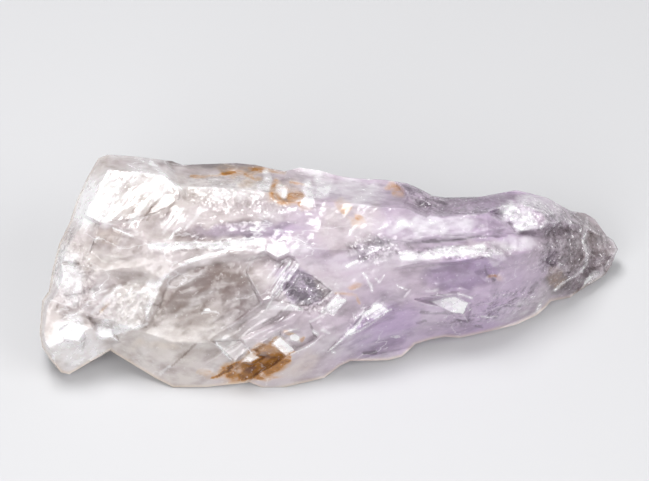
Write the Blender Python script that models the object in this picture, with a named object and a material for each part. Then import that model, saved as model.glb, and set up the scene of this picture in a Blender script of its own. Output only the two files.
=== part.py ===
"""A rough amethyst crystal lying on its side, as one solid. Metres, +Z up, its length along X.

The crystal's broad face is tilted halfway up towards -Y. Its relief is laid out square on that face, in
millimetres: s runs along the crystal from the broken base to the tip, t runs up the face, and out stands away
from it.
"""

import math

import bmesh
import bpy
import numpy as np
from mathutils import Vector
from mathutils.geometry import delaunay_2d_cdt

MM = 0.001
NAME = "amethyst_crystal"

# Where the face lies
FACE_TILT_DEG = 45.0
SIGHT_POINT = (30.5, 15.9)  # s, t of the point the layout is sighted on
SIGHT_DISTANCE = 200.0  # the layout narrows towards an eye this far out from the face
FACE_PLACE = (-1.28, 0.80, 11.24)  # where the sight point lies in the finished frame

# Mesh
LAYOUT_PITCH = 0.34
INSETS = (0.08, 0.26)  # rows of points close inside the outline, where the sides are steep
CLEARANCE = 0.15  # between the last of those rows and the grid
TRIANGLES = 8600

# Outline of the broad face, clockwise from the top of the broken base
OUTLINE = [
    (6.3, 24.7), (7.3, 25.1), (10.3, 24.9), (14.2, 24.4), (15.3, 24.0), (21.0, 24.2), (23.1, 24.0),
    (26.2, 23.3), (27.9, 23.7), (30.0, 23.4), (31.7, 22.9), (33.3, 22.6), (37.0, 22.4), (39.4, 22.0),
    (41.0, 21.3), (42.0, 20.7), (43.4, 20.5), (47.2, 20.6), (51.0, 21.3), (52.3, 21.0), (54.3, 20.5),
    (55.5, 19.8), (56.8, 19.1), (58.4, 18.8), (59.4, 18.2), (60.6, 16.5), (61.4, 15.9), (61.9, 15.0),
    (61.2, 13.3), (60.5, 12.2), (59.2, 11.4), (57.6, 10.4), (56.8, 9.8), (54.7, 9.4), (54.1, 8.7),
    (53.2, 7.9), (51.0, 6.9), (48.2, 6.2), (45.0, 5.5), (43.4, 5.6), (41.8, 5.3), (40.2, 4.8),
    (38.8, 3.5), (37.3, 3.1), (33.3, 3.0), (32.2, 2.5), (30.5, 1.2), (27.9, 0.6), (25.3, 0.0),
    (24.0, 0.1), (22.5, 0.7), (17.8, 0.2), (14.3, 0.2), (12.4, 1.2), (8.9, 3.3), (7.6, 4.1),
    (6.0, 3.2), (3.2, 1.6), (2.3, 1.8), (1.2, 3.1), (0.3, 4.5), (0.0, 6.0), (0.3, 9.5),
    (1.0, 10.5), (1.4, 12.8), (2.1, 15.5), (3.3, 18.0), (4.0, 20.2), (5.1, 22.6),
]

# Broad form: at each station s, a row of (t, out) points from the foot of the face to its top
FRONT_STATIONS = {
    0.0: [(1.0, 0.2), (4.0, 2.8), (14.0, 3.6), (20.0, 2.0), (25.0, -1.5)],
    8.0: [(3.5, -0.4), (7.0, 4.2), (17.0, 5.8), (22.4, 4.0), (25.0, -1.8)],
    14.0: [(0.2, -0.1), (5.0, 3.9), (15.6, 5.9), (21.6, 3.4), (24.4, -3.0)],
    20.0: [(0.2, -0.1), (5.0, 4.0), (15.4, 5.8), (21.4, 3.0), (24.2, -3.4)],
    27.0: [(0.5, -0.2), (5.0, 3.9), (15.3, 5.5), (21.0, 3.0), (23.6, -3.2)],
    34.0: [(3.0, -1.4), (7.5, 3.3), (14.8, 4.8), (20.0, 2.6), (22.5, -3.0)],
    41.0: [(5.0, -3.0), (9.5, 2.4), (14.0, 4.3), (18.8, 2.2), (21.3, -3.0)],
    48.0: [(6.2, -4.6), (10.0, 1.3), (14.2, 3.6), (18.8, 1.6), (21.0, -3.2)],
    54.0: [(8.7, -7.2), (11.5, -3.0), (14.6, -0.7), (18.6, -2.0), (20.5, -6.2)],
    58.0: [(10.6, -9.2), (12.5, -6.4), (15.0, -5.0), (17.3, -5.6), (18.8, -8.4)],
    62.0: [(13.0, -11.4), (14.0, -11.0), (15.0, -10.9), (15.5, -11.0), (15.8, -11.4)],
}
BACK_STATIONS = {
    0.0: [(1.0, 0.4), (8.0, 5.4), (16.0, 7.6), (25.0, 5.0)],
    8.0: [(3.5, 3.0), (8.5, 9.0), (18.0, 10.6), (25.0, 5.5)],
    13.0: [(0.2, 1.4), (8.8, 10.4), (18.6, 11.0), (24.4, 6.0)],
    28.0: [(0.8, 2.2), (9.0, 10.7), (17.6, 10.6), (23.4, 6.2)],
    38.0: [(3.6, 4.8), (9.4, 11.0), (16.5, 11.4), (22.2, 5.2)],
    46.0: [(5.6, 6.6), (10.0, 11.4), (16.0, 11.2), (20.7, 5.4)],
    53.0: [(8.2, 8.8), (11.5, 12.0), (16.0, 11.8), (20.5, 7.4)],
    62.0: [(13.0, 11.5), (14.0, 12.2), (15.0, 12.2), (15.8, 11.6)],
}
REST_DEPTH = 1.6  # how far the underside goes past the ground before it is cut flat there
# How steeply the two sides climb from the outline: (distance in, height)
FRONT_RIM = [(0.0, 0.0), (0.12, 0.9), (0.45, 1.9), (1.3, 3.5), (2.4, 6.5), (9.0, 16.0)]
BACK_RIM = [(0.0, 0.0), (0.12, 1.0), (0.5, 2.3), (1.5, 4.0), (4.0, 6.6), (9.0, 10.5)]
BASE_END = 7.0  # the broken base is blunter than the sides, back to this s
BASE_BLUNTNESS = 2.2
RIM_CREASE = (2.0, 0.5, 0.0)  # the creases by which the climb varies, within RIM_REACH of the outline
RIM_REACH = 4.0
LEAST_THICKNESS = 0.5

# Ledges: (line, drop, bevel, reach). The face drops on the right of the line as drawn, down a bevel, and
# climbs back over its reach.
LINE_END = 1.5  # ledges and grooves fade out over this length at their ends
FRONT_LEDGES = [
    # The block at the base's top corner, and the strip that falls away behind it
    ([(14.5, 19.6), (14.9, 21.3), (13.3, 23.1), (11.4, 25.3)], 1.0, 0.3, 5.0),
    ([(26.3, 23.4), (24.2, 23.1), (22.0, 22.5), (18.8, 22.3), (15.0, 22.3)], 0.8, 0.4, 3.0),
    # Folds below the block, and the rough patch under them
    ([(11.9, 13.3), (7.1, 12.7), (4.4, 14.6), (2.2, 15.2)], 0.3, 0.8, 1.6),
    ([(12.2, 10.6), (9.5, 10.4), (7.4, 10.0), (5.2, 8.6)], 0.5, 0.9, 2.0),
    # The lobe at the base's foot
    ([(7.6, 5.0), (5.6, 6.2), (3.6, 5.9), (0.9, 7.4)], 0.6, 1.0, 2.2),
    # The beaded ledge along the middle, and the long hollow below it
    ([(24.1, 15.7), (20.4, 15.3), (17.2, 15.1), (15.1, 15.1), (13.5, 14.7), (11.6, 14.7)], 0.45, 0.6, 2.2),
    ([(7.8, 4.9), (9.5, 6.2), (11.1, 7.0), (12.4, 9.5), (12.7, 10.8), (13.5, 12.3), (15.6, 13.4),
      (18.8, 14.2), (21.5, 14.5), (24.5, 14.6)], 0.6, 0.3, 5.5),
    # Blades that rise towards the tip, and the stained pocket between two of them
    ([(27.9, 8.2), (23.9, 6.1), (19.6, 4.0), (17.5, 2.5)], 0.35, 0.4, 1.6),
    ([(19.6, 1.8), (21.8, 3.9), (23.9, 4.7), (26.3, 6.0), (28.4, 6.4)], 1.0, 0.35, 2.5),
    ([(30.8, 5.9), (27.9, 4.2), (26.3, 3.3), (23.9, 1.8), (22.0, 0.4)], 0.8, 0.35, 2.0),
    ([(38.5, 9.0), (35.2, 8.6), (32.8, 6.0), (30.5, 5.7)], 0.35, 0.5, 2.0),
    # The bright ledge along the tip half, and the steep face below it
    ([(51.6, 13.5), (49.3, 13.9), (47.2, 14.3), (42.0, 13.6), (38.8, 13.6)], 0.75, 1.3, 2.2),
    ([(37.6, 12.9), (42.0, 13.5), (47.2, 14.2), (50.0, 13.8)], 0.6, 0.35, 4.0),
    # The white block behind the tip, and the ridges across the tip
    ([(49.6, 20.0), (49.3, 18.8), (50.8, 16.9)], 0.5, 0.3, 2.5),
    ([(57.5, 11.4), (58.4, 13.3), (58.9, 14.9), (58.7, 16.5), (58.4, 18.8)], 0.5, 0.3, 2.5),
    ([(55.3, 9.6), (56.3, 11.1), (55.7, 12.7), (54.1, 13.6)], 0.4, 0.3, 2.0),
]
BACK_LEDGES = [
    ([(2.5, 9.0), (8.0, 11.4), (14.0, 12.0), (19.0, 12.6), (27.0, 14.8)], 1.2, 0.5, 6.0),
    ([(49.0, 12.6), (44.0, 13.0), (36.0, 14.6), (28.0, 17.4), (20.0, 17.8), (12.0, 20.4)], 1.1, 0.5, 5.0),
    ([(30.0, 4.0), (34.0, 8.6), (41.0, 10.4), (48.0, 14.0), (52.0, 17.6)], 1.2, 0.4, 5.0),
    ([(9.8, 23.6), (8.2, 17.0), (10.0, 12.0), (9.2, 6.5), (10.6, 3.0)], 1.0, 0.5, 4.0),
    ([(21.0, 22.5), (24.5, 16.0), (23.8, 10.5), (27.0, 4.0)], 0.9, 0.4, 4.0),
    ([(46.5, 19.6), (45.0, 15.0), (46.8, 9.0)], 0.8, 0.4, 4.0),
    ([(56.8, 17.6), (55.0, 14.6), (56.4, 11.0)], 0.6, 0.3, 2.5),
    ([(40.0, 20.4), (34.0, 20.8), (27.0, 21.8)], 0.8, 0.4, 2.5),
]

# Hollows with a sharp rim, and lumps where the depth is negative: (at, half size, depth, turn in degrees)
FRONT_SCOOPS = [
    ((7.4, 16.0), (4.4, 1.8), 0.7, -6),  # below the block
    ((10.4, 12.0), (3.2, 1.1), 0.4, -12),
    ((17.6, 9.4), (4.6, 2.6), 0.3, 14),  # in the long hollow
    ((26.8, 20.7), (2.2, 1.2), 1.1, -8),  # the stained pit near the top
    ((48.4, 12.5), (1.4, 1.2), 0.5, 20),
    ((36.8, 5.2), (4.5, 1.4), 0.3, 12),
    ((53.9, 18.4), (4.4, 1.5), -0.6, -12),  # the white block behind the tip
]
BACK_SCOOPS = [
    ((14.0, 15.5), (4.0, 2.2), 0.8, 10),
    ((31.0, 12.0), (5.0, 2.0), 0.7, -18),
    ((40.5, 17.0), (3.6, 1.6), 0.6, 12),
    ((52.0, 13.0), (3.0, 1.8), 0.6, -30),
]

# Grooves: (line, depth, half width)
GROOVES = [
    ([(38.6, 15.5), (41.8, 15.7), (46.1, 16.1), (49.3, 16.6), (53.6, 16.8), (57.8, 17.2)], 0.4, 0.55),
    ([(15.4, 19.0), (20.0, 17.8), (25.0, 18.0), (30.0, 17.6)], 0.3, 0.9),
]

# Flat facets: (corners, height above the face, slope along s and t). A facet above the face is a plate, and
# one below it is a cut. Their walls are steep.
SHINE = (0.1, -0.4)  # the slope of the facets that shine under light from above
WALL_SLOPE = 2.4
FRONT_FACETS = [
    # The block at the base's top corner, and the lobe at its foot
    ([(6.6, 24.2), (11.5, 24.3), (13.3, 22.6), (14.8, 21.0), (14.6, 20.2), (11.9, 18.9), (8.7, 18.3),
      (6.0, 17.9), (4.0, 18.2), (5.0, 21.6)], -0.3, (0.05, -0.35)),
    ([(2.2, 6.3), (3.5, 7.2), (4.8, 6.2), (4.2, 5.2), (2.7, 5.4)], 0.0, SHINE),
    ([(6.0, 7.0), (7.6, 6.7), (7.9, 5.6), (6.5, 5.6)], 0.0, SHINE),
    ([(1.0, 9.8), (1.9, 13.6), (4.2, 13.4), (4.6, 10.4)], -0.1, (0.6, 0.0)),
    ([(2.8, 14.8), (4.6, 18.4), (6.4, 17.6), (5.2, 14.4)], -0.1, (0.5, -0.2)),
    # The middle: a raised plate, the lozenge on the ledge above it, and the dark cut beside it
    ([(22.2, 12.5), (22.6, 13.7), (24.7, 14.7), (27.1, 14.0), (27.6, 13.4), (24.9, 9.8), (23.9, 9.5)],
     0.15, (0.0, -0.1)),
    ([(24.4, 15.6), (26.2, 15.8), (26.7, 14.7), (25.5, 14.1), (24.3, 14.8)], 0.1, SHINE),
    ([(25.0, 9.6), (27.6, 12.7), (29.2, 12.0), (31.1, 10.5), (30.1, 9.5), (28.2, 8.9)],
     -0.4, (-0.2, 0.2)),
    # Blades and lozenges that rise towards the tip
    ([(18.8, 5.0), (21.5, 5.2), (22.6, 4.0), (21.0, 3.1)], 0.1, (0.1, -0.1)),
    ([(21.7, 3.0), (22.6, 3.9), (23.4, 3.4), (22.6, 2.9)], 0.15, SHINE),
    ([(24.9, 4.9), (25.8, 5.6), (27.2, 4.2), (26.4, 3.6)], 0.2, SHINE),
    ([(30.6, 8.4), (31.9, 10.1), (32.7, 9.4), (31.4, 7.9)], 0.1, SHINE),
    ([(32.9, 5.8), (33.5, 6.6), (35.0, 8.4), (36.5, 9.1), (37.3, 8.4), (35.4, 7.2)], 0.1, (0.1, -0.1)),
    ([(41.8, 9.4), (44.5, 9.9), (45.8, 9.2), (45.3, 8.1), (44.0, 8.3)], 0.2, SHINE),
    # Dark cuts above the bright ledge and at the top edge
    ([(32.7, 15.8), (35.6, 17.0), (37.5, 15.9), (38.6, 14.2), (37.0, 13.6), (33.5, 13.4)],
     -0.3, (-0.15, 0.15)),
    ([(39.1, 21.6), (41.3, 21.1), (42.5, 20.2), (41.3, 19.4), (39.5, 20.2)], -0.3, (-0.4, -0.8)),
    # The white block behind the tip, and the tip's end
    ([(49.3, 18.8), (50.6, 19.6), (53.6, 19.9), (55.3, 19.1), (53.6, 17.2), (50.9, 16.9)], 0.1, (0.1, -0.6)),
    ([(58.7, 16.8), (61.3, 15.9), (61.8, 14.7), (60.0, 13.6), (58.9, 14.7)], -0.1, (-1.0, -0.3)),
]
BACK_FACETS = [
    ([(12.0, 19.6), (13.2, 23.6), (20.4, 23.4), (22.2, 20.6), (17.0, 18.6)], -0.7, (0.1, -0.8)),
    ([(28.6, 18.6), (30.0, 22.2), (36.6, 21.6), (38.6, 18.2), (33.0, 17.0)], -0.6, (-0.1, -0.9)),
    ([(35.4, 11.4), (37.2, 14.8), (41.6, 14.4), (40.6, 10.6)], -0.6, (0.2, 0.2)),
    ([(1.2, 8.6), (2.2, 14.6), (6.0, 16.2), (7.0, 9.4)], -0.5, (0.9, 0.1)),
    ([(3.4, 17.4), (5.4, 23.4), (9.0, 24.2), (8.6, 17.0)], -0.5, (0.6, -0.5)),
    ([(1.2, 3.6), (1.6, 7.6), (7.2, 8.0), (7.0, 4.6)], -0.4, (0.5, 0.6)),
    ([(22.6, 8.6), (24.2, 11.4), (29.4, 10.6), (28.6, 7.8)], -0.5, (-0.15, 0.6)),
    ([(11.4, 13.6), (12.6, 17.4), (18.0, 17.0), (17.2, 13.2)], -0.6, (0.15, -0.15)),
    ([(47.6, 13.4), (49.8, 17.0), (54.2, 15.8), (53.0, 12.2)], -0.5, (-0.2, -0.2)),
    ([(42.0, 16.6), (43.0, 19.4), (48.0, 19.2), (49.0, 16.8)], -0.5, (-0.1, -0.7)),
]

# Growth steps: (at, half size, pitch, rise, direction down in degrees)
STAIRS = [
    ((26.2, 11.6), (1.2, 2.5), 0.55, 0.25, -36),
    ((43.0, 12.0), (2.4, 1.0), 0.9, 0.18, -70),
]
STAIR_CREST = 0.7  # share of each step that climbs
STAIR_EDGE = 3.0  # how abruptly a patch of steps ends

# Low creases between flat facets, all over and longer one way than across: (pitch, height, direction of their
# length in degrees)
FRONT_CREASES = [(3.2, 0.16, 28.0), (1.5, 0.07, 52.0)]
BACK_CREASES = [(5.5, 0.5, 8.0), (2.4, 0.2, -35.0)]
CREASE_STRETCH = 0.5
CREASE_WANDER = 0.4  # how far they stray from an even grid, as a share of the pitch

# Natural irregularity: (pitch, height or reach)
SWELL = (5.5, 0.35)
FORM_WANDER = (6.0, 0.5)
LINE_WANDER = (1.7, 0.22)
SCOOP_WANDER = (3.1, 0.7)
SEEDS = {"front": 1, "back": 31, "front rim": 61, "back rim": 67, "lines": 4}


def hashed(cells, salt):
    """A repeatable number from 0 to 1 for each row of whole numbers."""
    h = np.full(len(cells), salt * 2654435761, np.int64)
    for axis, prime in enumerate((73856093, 19349663, 83492791)[:cells.shape[1]]):
        h ^= cells[:, axis].astype(np.int64) * prime
    h &= 0xFFFFFFFF
    for shift, factor in ((16, 0x7FEB352D), (15, 0x846CA68B)):
        h = ((h ^ (h >> shift)) * factor) & 0xFFFFFFFF
    return (h ^ (h >> 16)) / 0xFFFFFFFF


def swell(p, pitch, salt):
    """Smooth random heights from -1 to 1."""
    home = np.floor(p / pitch)
    share = p / pitch - home
    share = share * share * (3 - 2 * share)
    total = np.zeros(len(p))
    for ds in (0, 1):
        for dt in (0, 1):
            weight = np.abs(1 - ds - share[:, 0]) * np.abs(1 - dt - share[:, 1])
            total += weight * hashed(home + (ds, dt), salt)
    return total * 2 - 1


def wandered(p, wander, salt):
    """Points moved about a little, so that what is drawn on them wanders."""
    pitch, reach = wander
    return p + reach * np.column_stack([swell(p, pitch, salt), swell(p, pitch, salt + 1)])


def creased(p, crease, salt):
    """Random heights on a grid of triangles, flat between its corners."""
    pitch, height, way_deg = crease
    c, s = math.cos(math.radians(way_deg)), math.sin(math.radians(way_deg))
    p = wandered(p, (2 * pitch, CREASE_WANDER * pitch), salt)
    along = (p[:, 0] * c + p[:, 1] * s) * CREASE_STRETCH
    across = (p[:, 1] * c - p[:, 0] * s) / math.sqrt(3)
    skewed = np.column_stack([along - across, 2 * across]) / pitch
    home = np.floor(skewed)
    u, v = (skewed - home).T
    far = u + v > 1
    corner = np.where(far, hashed(home + 1, salt), hashed(home, salt))
    right, left = hashed(home + (1, 0), salt), hashed(home + (0, 1), salt)
    mixed = np.where(far, (1 - v) * right + (1 - u) * left, u * right + v * left) + np.abs(1 - u - v) * corner
    return height * (mixed * 2 - 1)


def to_line(p, line):
    """Signed distance from the line, positive on its left as drawn, and the length in from its nearer end."""
    line = np.array(line, float)
    nearest = np.full(len(p), np.inf)
    side = np.ones(len(p))
    run = np.zeros(len(p))
    start = 0.0
    for a, b in zip(line[:-1], line[1:]):
        span = b - a
        length = math.hypot(*span)
        share = np.clip(((p - a) @ span) / length**2, 0, 1)
        offset = p - a - share[:, None] * span
        distance = np.hypot(*offset.T)
        cross = span[0] * (p[:, 1] - a[1]) - span[1] * (p[:, 0] - a[0])
        closer = distance < nearest
        nearest = np.where(closer, distance, nearest)
        side = np.where(closer, np.sign(cross), side)
        run = np.where(closer, start + share * length, run)
        start += length
    return nearest * side, np.minimum(run, start - run)


def turned(p, at, size, turn_deg):
    """Coordinates in a patch, 1 at its half sizes, with the patch turned on the face."""
    c, s = math.cos(math.radians(turn_deg)), math.sin(math.radians(turn_deg))
    q = p - np.array(at)
    return np.column_stack([q[:, 0] * c + q[:, 1] * s, q[:, 1] * c - q[:, 0] * s]) / np.array(size)


def resampled(line, step):
    """The line's points with more between them, about a step apart."""
    line = np.array(line, float)
    points = []
    for a, b in zip(line[:-1], line[1:]):
        cuts = max(1, round(math.hypot(*(b - a)) / step))
        points.extend(a + (b - a) * k / cuts for k in range(cuts))
    return np.array(points + [line[-1]])


def natural(line):
    """A drawn line with its small bends."""
    return wandered(resampled(line, LINE_WANDER[0] / 2), LINE_WANDER, SEEDS["lines"])


def close_to(p, line, reach):
    """Which points lie in the line's box, widened by reach."""
    line = np.array(line)
    return ((p > line.min(0) - reach) & (p < line.max(0) + reach)).all(1)


def add_ledge(out, p, line, drop, bevel, reach):
    near = close_to(p, line, bevel + reach)
    distance, inwards = to_line(p[near], natural(line))
    below = np.clip(-distance, 0, None)
    fall = np.clip(below / bevel, 0, 1) * np.clip(1 - (below - bevel) / reach, 0, 1)
    out[near] -= drop * fall * np.clip(inwards / LINE_END, 0, 1)
    return out


def add_groove(out, p, line, depth, half_width):
    near = close_to(p, line, half_width)
    distance, inwards = to_line(p[near], line)
    out[near] -= depth * np.clip(1 - np.abs(distance) / half_width, 0, 1) * np.clip(inwards / LINE_END, 0, 1)
    return out


def add_scoop(out, p, at, size, depth, turn_deg):
    radius = (turned(p, at, size, turn_deg) ** 2).sum(1)
    return out - depth * np.clip(1 - radius, 0, 1)


def beyond(p, corners):
    """Distance outside a convex polygon whose corners run clockwise, and less than zero inside."""
    corners = np.array(corners)
    furthest = np.full(len(p), -np.inf)
    for a, b in zip(corners, np.roll(corners, -1, 0)):
        outwards = np.array((a[1] - b[1], b[0] - a[0])) / math.hypot(*(b - a))
        furthest = np.maximum(furthest, (p - a) @ outwards)
    return furthest


def add_facet(out, p, corners, height, slope):
    """A flat polygon, with steep walls up or down to what surrounds it."""
    outside = beyond(p, corners)
    level = np.median(out[outside < 0]) + height + (p - np.mean(corners, 0)) @ np.array(slope)
    wall = WALL_SLOPE * np.clip(outside, 0, None)
    return np.clip(out, level - wall, level + wall)


def add_stair(out, p, at, size, pitch, rise, down_deg):
    inside = np.clip((1 - (turned(p, at, size, down_deg) ** 2).sum(1)) * STAIR_EDGE, 0, 1)
    down = np.array((math.cos(math.radians(down_deg)), math.sin(math.radians(down_deg))))
    steps = (p - np.array(at)) @ down / pitch
    return out + inside * rise * np.interp(steps - np.floor(steps), (0, STAIR_CREST, 1), (0, 1, 0))


def form(stations, p):
    """The broad form between the stations' rows of points."""
    places = sorted(stations)
    rows = np.array([stations[s] for s in places], float)
    s, t = p.T
    ts = [np.interp(s, places, rows[:, k, 0]) for k in range(rows.shape[1])]
    outs = [np.interp(s, places, rows[:, k, 1]) for k in range(rows.shape[1])]
    out = outs[0].copy()
    for k in range(len(ts) - 1):
        share = (t - ts[k]) / np.maximum(ts[k + 1] - ts[k], 1e-6)
        out = np.where(share >= 0, outs[k] + np.clip(share, 0, 1) * (outs[k + 1] - outs[k]), out)
    return out


def relief(p, stations, creases, ledges, scoops, facets, salt):
    """One side of the crystal: its broad form and what stands on it or is cut into it."""
    out = form(stations, wandered(p, FORM_WANDER, salt))
    out = out + SWELL[1] * swell(p, SWELL[0], salt + 2)
    for number, crease in enumerate(creases):
        out = out + creased(p, crease, salt + 10 + 2 * number)
    for ledge in ledges:
        out = add_ledge(out, p, *ledge)
    scoop_places = wandered(p, SCOOP_WANDER, salt + 5)
    for scoop in scoops:
        out = add_scoop(out, scoop_places, *scoop)
    for facet in facets:
        out = add_facet(out, p, *facet)
    return out


def rim_height(p):
    """Where the outline lies between front and back: the front rows' feet and tops give it."""
    places = sorted(FRONT_STATIONS)
    rows = np.array([FRONT_STATIONS[s] for s in places], float)
    s, t = p.T
    foot_t, foot, top_t, top = (np.interp(s, places, rows[:, k, axis]) for k in (0, -1) for axis in (0, 1))
    share = np.clip((t - foot_t) / np.maximum(top_t - foot_t, 1e-6), 0, 1)
    return foot + share * (top - foot)


def climb(p, edge_distance, rim, salt):
    """How high a side may stand this far in from the outline."""
    blunt = 1 + (BASE_BLUNTNESS - 1) * np.clip((BASE_END - p[:, 0]) / BASE_END, 0, 1)
    uneven = 1 + creased(p, RIM_CREASE, salt) * np.clip(1 - edge_distance / RIM_REACH, 0, 1)
    return np.interp(edge_distance * blunt * uneven, *np.array(rim).T)


def drawn_lines():
    """The lines that the mesh's edges follow inside the outline, which keeps ledges and facets crisp."""
    ledges = [natural(line) for line, _, _, _ in FRONT_LEDGES + BACK_LEDGES]
    facets = [corners + corners[:1] for corners, _, _ in FRONT_FACETS + BACK_FACETS]
    return ledges + facets


def within(p, loop):
    inside = np.zeros(len(p), bool)
    for a, b in zip(loop[:-1], loop[1:]):
        crosses = (a[1] > p[:, 1]) != (b[1] > p[:, 1])
        rise = b[1] - a[1] if b[1] != a[1] else 1.0
        inside ^= crosses & (p[:, 0] < a[0] + (p[:, 1] - a[1]) * (b[0] - a[0]) / rise)
    return inside


def layout():
    """Triangles over the outline: its own edge, the drawn lines, and a staggered grid between them."""
    loop = np.array(OUTLINE + OUTLINE[:1], float)
    edge = resampled(loop, LAYOUT_PITCH)[:-1]
    along = np.roll(edge, -1, 0) - np.roll(edge, 1, 0)
    inwards = np.column_stack([along[:, 1], -along[:, 0]]) / np.hypot(*along.T)[:, None]
    points = [edge, *(edge + inwards * inset for inset in INSETS)]
    edges = [(k, (k + 1) % len(edge)) for k in range(len(edge))]
    low, high = loop.min(0), loop.max(0)
    rows = []
    for j, t in enumerate(np.arange(low[1], high[1], LAYOUT_PITCH * math.sqrt(3) / 2)):
        row_s = np.arange(low[0] + 0.5 * LAYOUT_PITCH * (j % 2), high[0], LAYOUT_PITCH)
        rows.append(np.column_stack([row_s, np.full(len(row_s), t)]))
    grid = np.concatenate(rows)
    clear = within(grid, loop) & (np.abs(to_line(grid, loop)[0]) > INSETS[-1] + CLEARANCE)
    for line in drawn_lines():
        near = np.flatnonzero(clear & close_to(grid, line, CLEARANCE))
        clear[near] = np.abs(to_line(grid[near], line)[0]) > CLEARANCE
        stops = resampled(line, LAYOUT_PITCH)
        usable = within(stops, loop) & (np.abs(to_line(stops, loop)[0]) > INSETS[-1] + CLEARANCE)
        number = sum(map(len, points)) + np.cumsum(usable) - 1
        edges += [(number[k], number[k + 1]) for k in np.flatnonzero(usable[:-1] & usable[1:])]
        points.append(stops[usable])
    points.append(grid[clear])
    made = delaunay_2d_cdt([Vector(q) for q in np.concatenate(points)], edges, [], 1, 1e-6)
    p = np.array([tuple(q) for q in made[0]])
    return p, made[2], np.abs(to_line(p, loop)[0])


def true_places(p, out):
    """Layout points at their heights, in the finished frame, in millimetres."""
    narrowing = 1 - out / SIGHT_DISTANCE
    right = (p[:, 0] - SIGHT_POINT[0]) * narrowing
    up = (p[:, 1] - SIGHT_POINT[1]) * narrowing
    tilt = math.radians(FACE_TILT_DEG)
    y = up * math.sin(tilt) - out * math.cos(tilt)
    z = up * math.cos(tilt) + out * math.sin(tilt)
    return np.column_stack([right, y, z]) + np.array(FACE_PLACE)


def two_sides(p, edge_distance):
    """The front and back heights at each layout point."""
    front = relief(p, FRONT_STATIONS, FRONT_CREASES, FRONT_LEDGES, FRONT_SCOOPS, FRONT_FACETS, SEEDS["front"])
    for groove in GROOVES:
        front = add_groove(front, p, *groove)
    for stair in STAIRS:
        front = add_stair(front, p, *stair)
    back = relief(p, BACK_STATIONS, BACK_CREASES, BACK_LEDGES, BACK_SCOOPS, BACK_FACETS, SEEDS["back"])
    resting = form(BACK_STATIONS, p) > p[:, 1]
    back = np.where(resting, np.maximum(back, p[:, 1] + REST_DEPTH), back)
    rim = rim_height(p)
    front = np.minimum(front, rim + climb(p, edge_distance, FRONT_RIM, SEEDS["front rim"]))
    back = -np.minimum(back, climb(p, edge_distance, BACK_RIM, SEEDS["back rim"]) - rim)
    return front, np.minimum(back, front - LEAST_THICKNESS * np.clip(edge_distance, 0, 1))


def stone_mesh():
    p, triangles, edge_distance = layout()
    on_edge = edge_distance < 1e-4
    front, back = two_sides(p, edge_distance)
    bm = bmesh.new()
    fronts = [bm.verts.new(q * MM) for q in true_places(p, front)]
    backs = [front_vert if shared else bm.verts.new(q * MM)
             for front_vert, shared, q in zip(fronts, on_edge, true_places(p, back))]
    for a, b, c in triangles:
        bm.faces.new((fronts[a], fronts[b], fronts[c]))
        bm.faces.new((backs[c], backs[b], backs[a]))
    bmesh.ops.recalc_face_normals(bm, faces=bm.faces)
    mesh = bpy.data.meshes.new(NAME)
    bm.to_mesh(mesh)
    bm.free()
    return mesh


def thinned(obj, count):
    """Flat stretches are merged into few triangles, which keeps the creases."""
    shrink = obj.modifiers.new("flat_stretches", "DECIMATE")
    shrink.ratio = count / len(obj.data.polygons)
    shrink.use_collapse_triangulate = True
    graph = bpy.context.evaluated_depsgraph_get()
    mesh = bpy.data.meshes.new_from_object(obj.evaluated_get(graph))
    obj.modifiers.clear()
    obj.data = mesh


def cut_flat_underneath(obj):
    """The facet that the crystal rests on."""
    bm = bmesh.new()
    bm.from_mesh(obj.data)
    everything = bm.verts[:] + bm.edges[:] + bm.faces[:]
    ground = {"plane_co": (0, 0, 0), "plane_no": (0, 0, -1)}
    cut = bmesh.ops.bisect_plane(bm, geom=everything, clear_outer=True, **ground)
    edges = [e for e in cut["geom_cut"] if isinstance(e, bmesh.types.BMEdge)]
    made = bmesh.ops.holes_fill(bm, edges=edges)
    bmesh.ops.triangulate(bm, faces=made["faces"])
    bmesh.ops.recalc_face_normals(bm, faces=bm.faces)
    bm.to_mesh(obj.data)
    bm.free()


def amethyst():
    material = bpy.data.materials.new("amethyst")
    material.use_nodes = True
    shader = material.node_tree.nodes["Principled BSDF"]
    shader.inputs["Base Color"].default_value = (0.72, 0.64, 0.74, 1.0)
    shader.inputs["Roughness"].default_value = 0.22
    return material


def main():
    for obj in list(bpy.data.objects):
        bpy.data.objects.remove(obj)
    stone = bpy.data.objects.new(NAME, stone_mesh())
    bpy.context.scene.collection.objects.link(stone)
    thinned(stone, TRIANGLES)
    cut_flat_underneath(stone)
    stone.data.materials.append(amethyst())
    stone.data.shade_flat()


main()
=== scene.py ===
"""The looks of a rough amethyst crystal lying on its side. Metres, +Z up, its length along X.

The crystal's broad face is tilted halfway up towards -Y. Its relief is laid out square on that face, in
millimetres: s runs along the crystal from the broken base to the tip, t runs up the face, and out stands away
from it. The broad forms are the solid's own, on a finer mesh, and finer relief and colour lie over them.
"""

import math

import bmesh
import bpy
import numpy as np
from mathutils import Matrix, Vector
from mathutils.geometry import delaunay_2d_cdt


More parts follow.
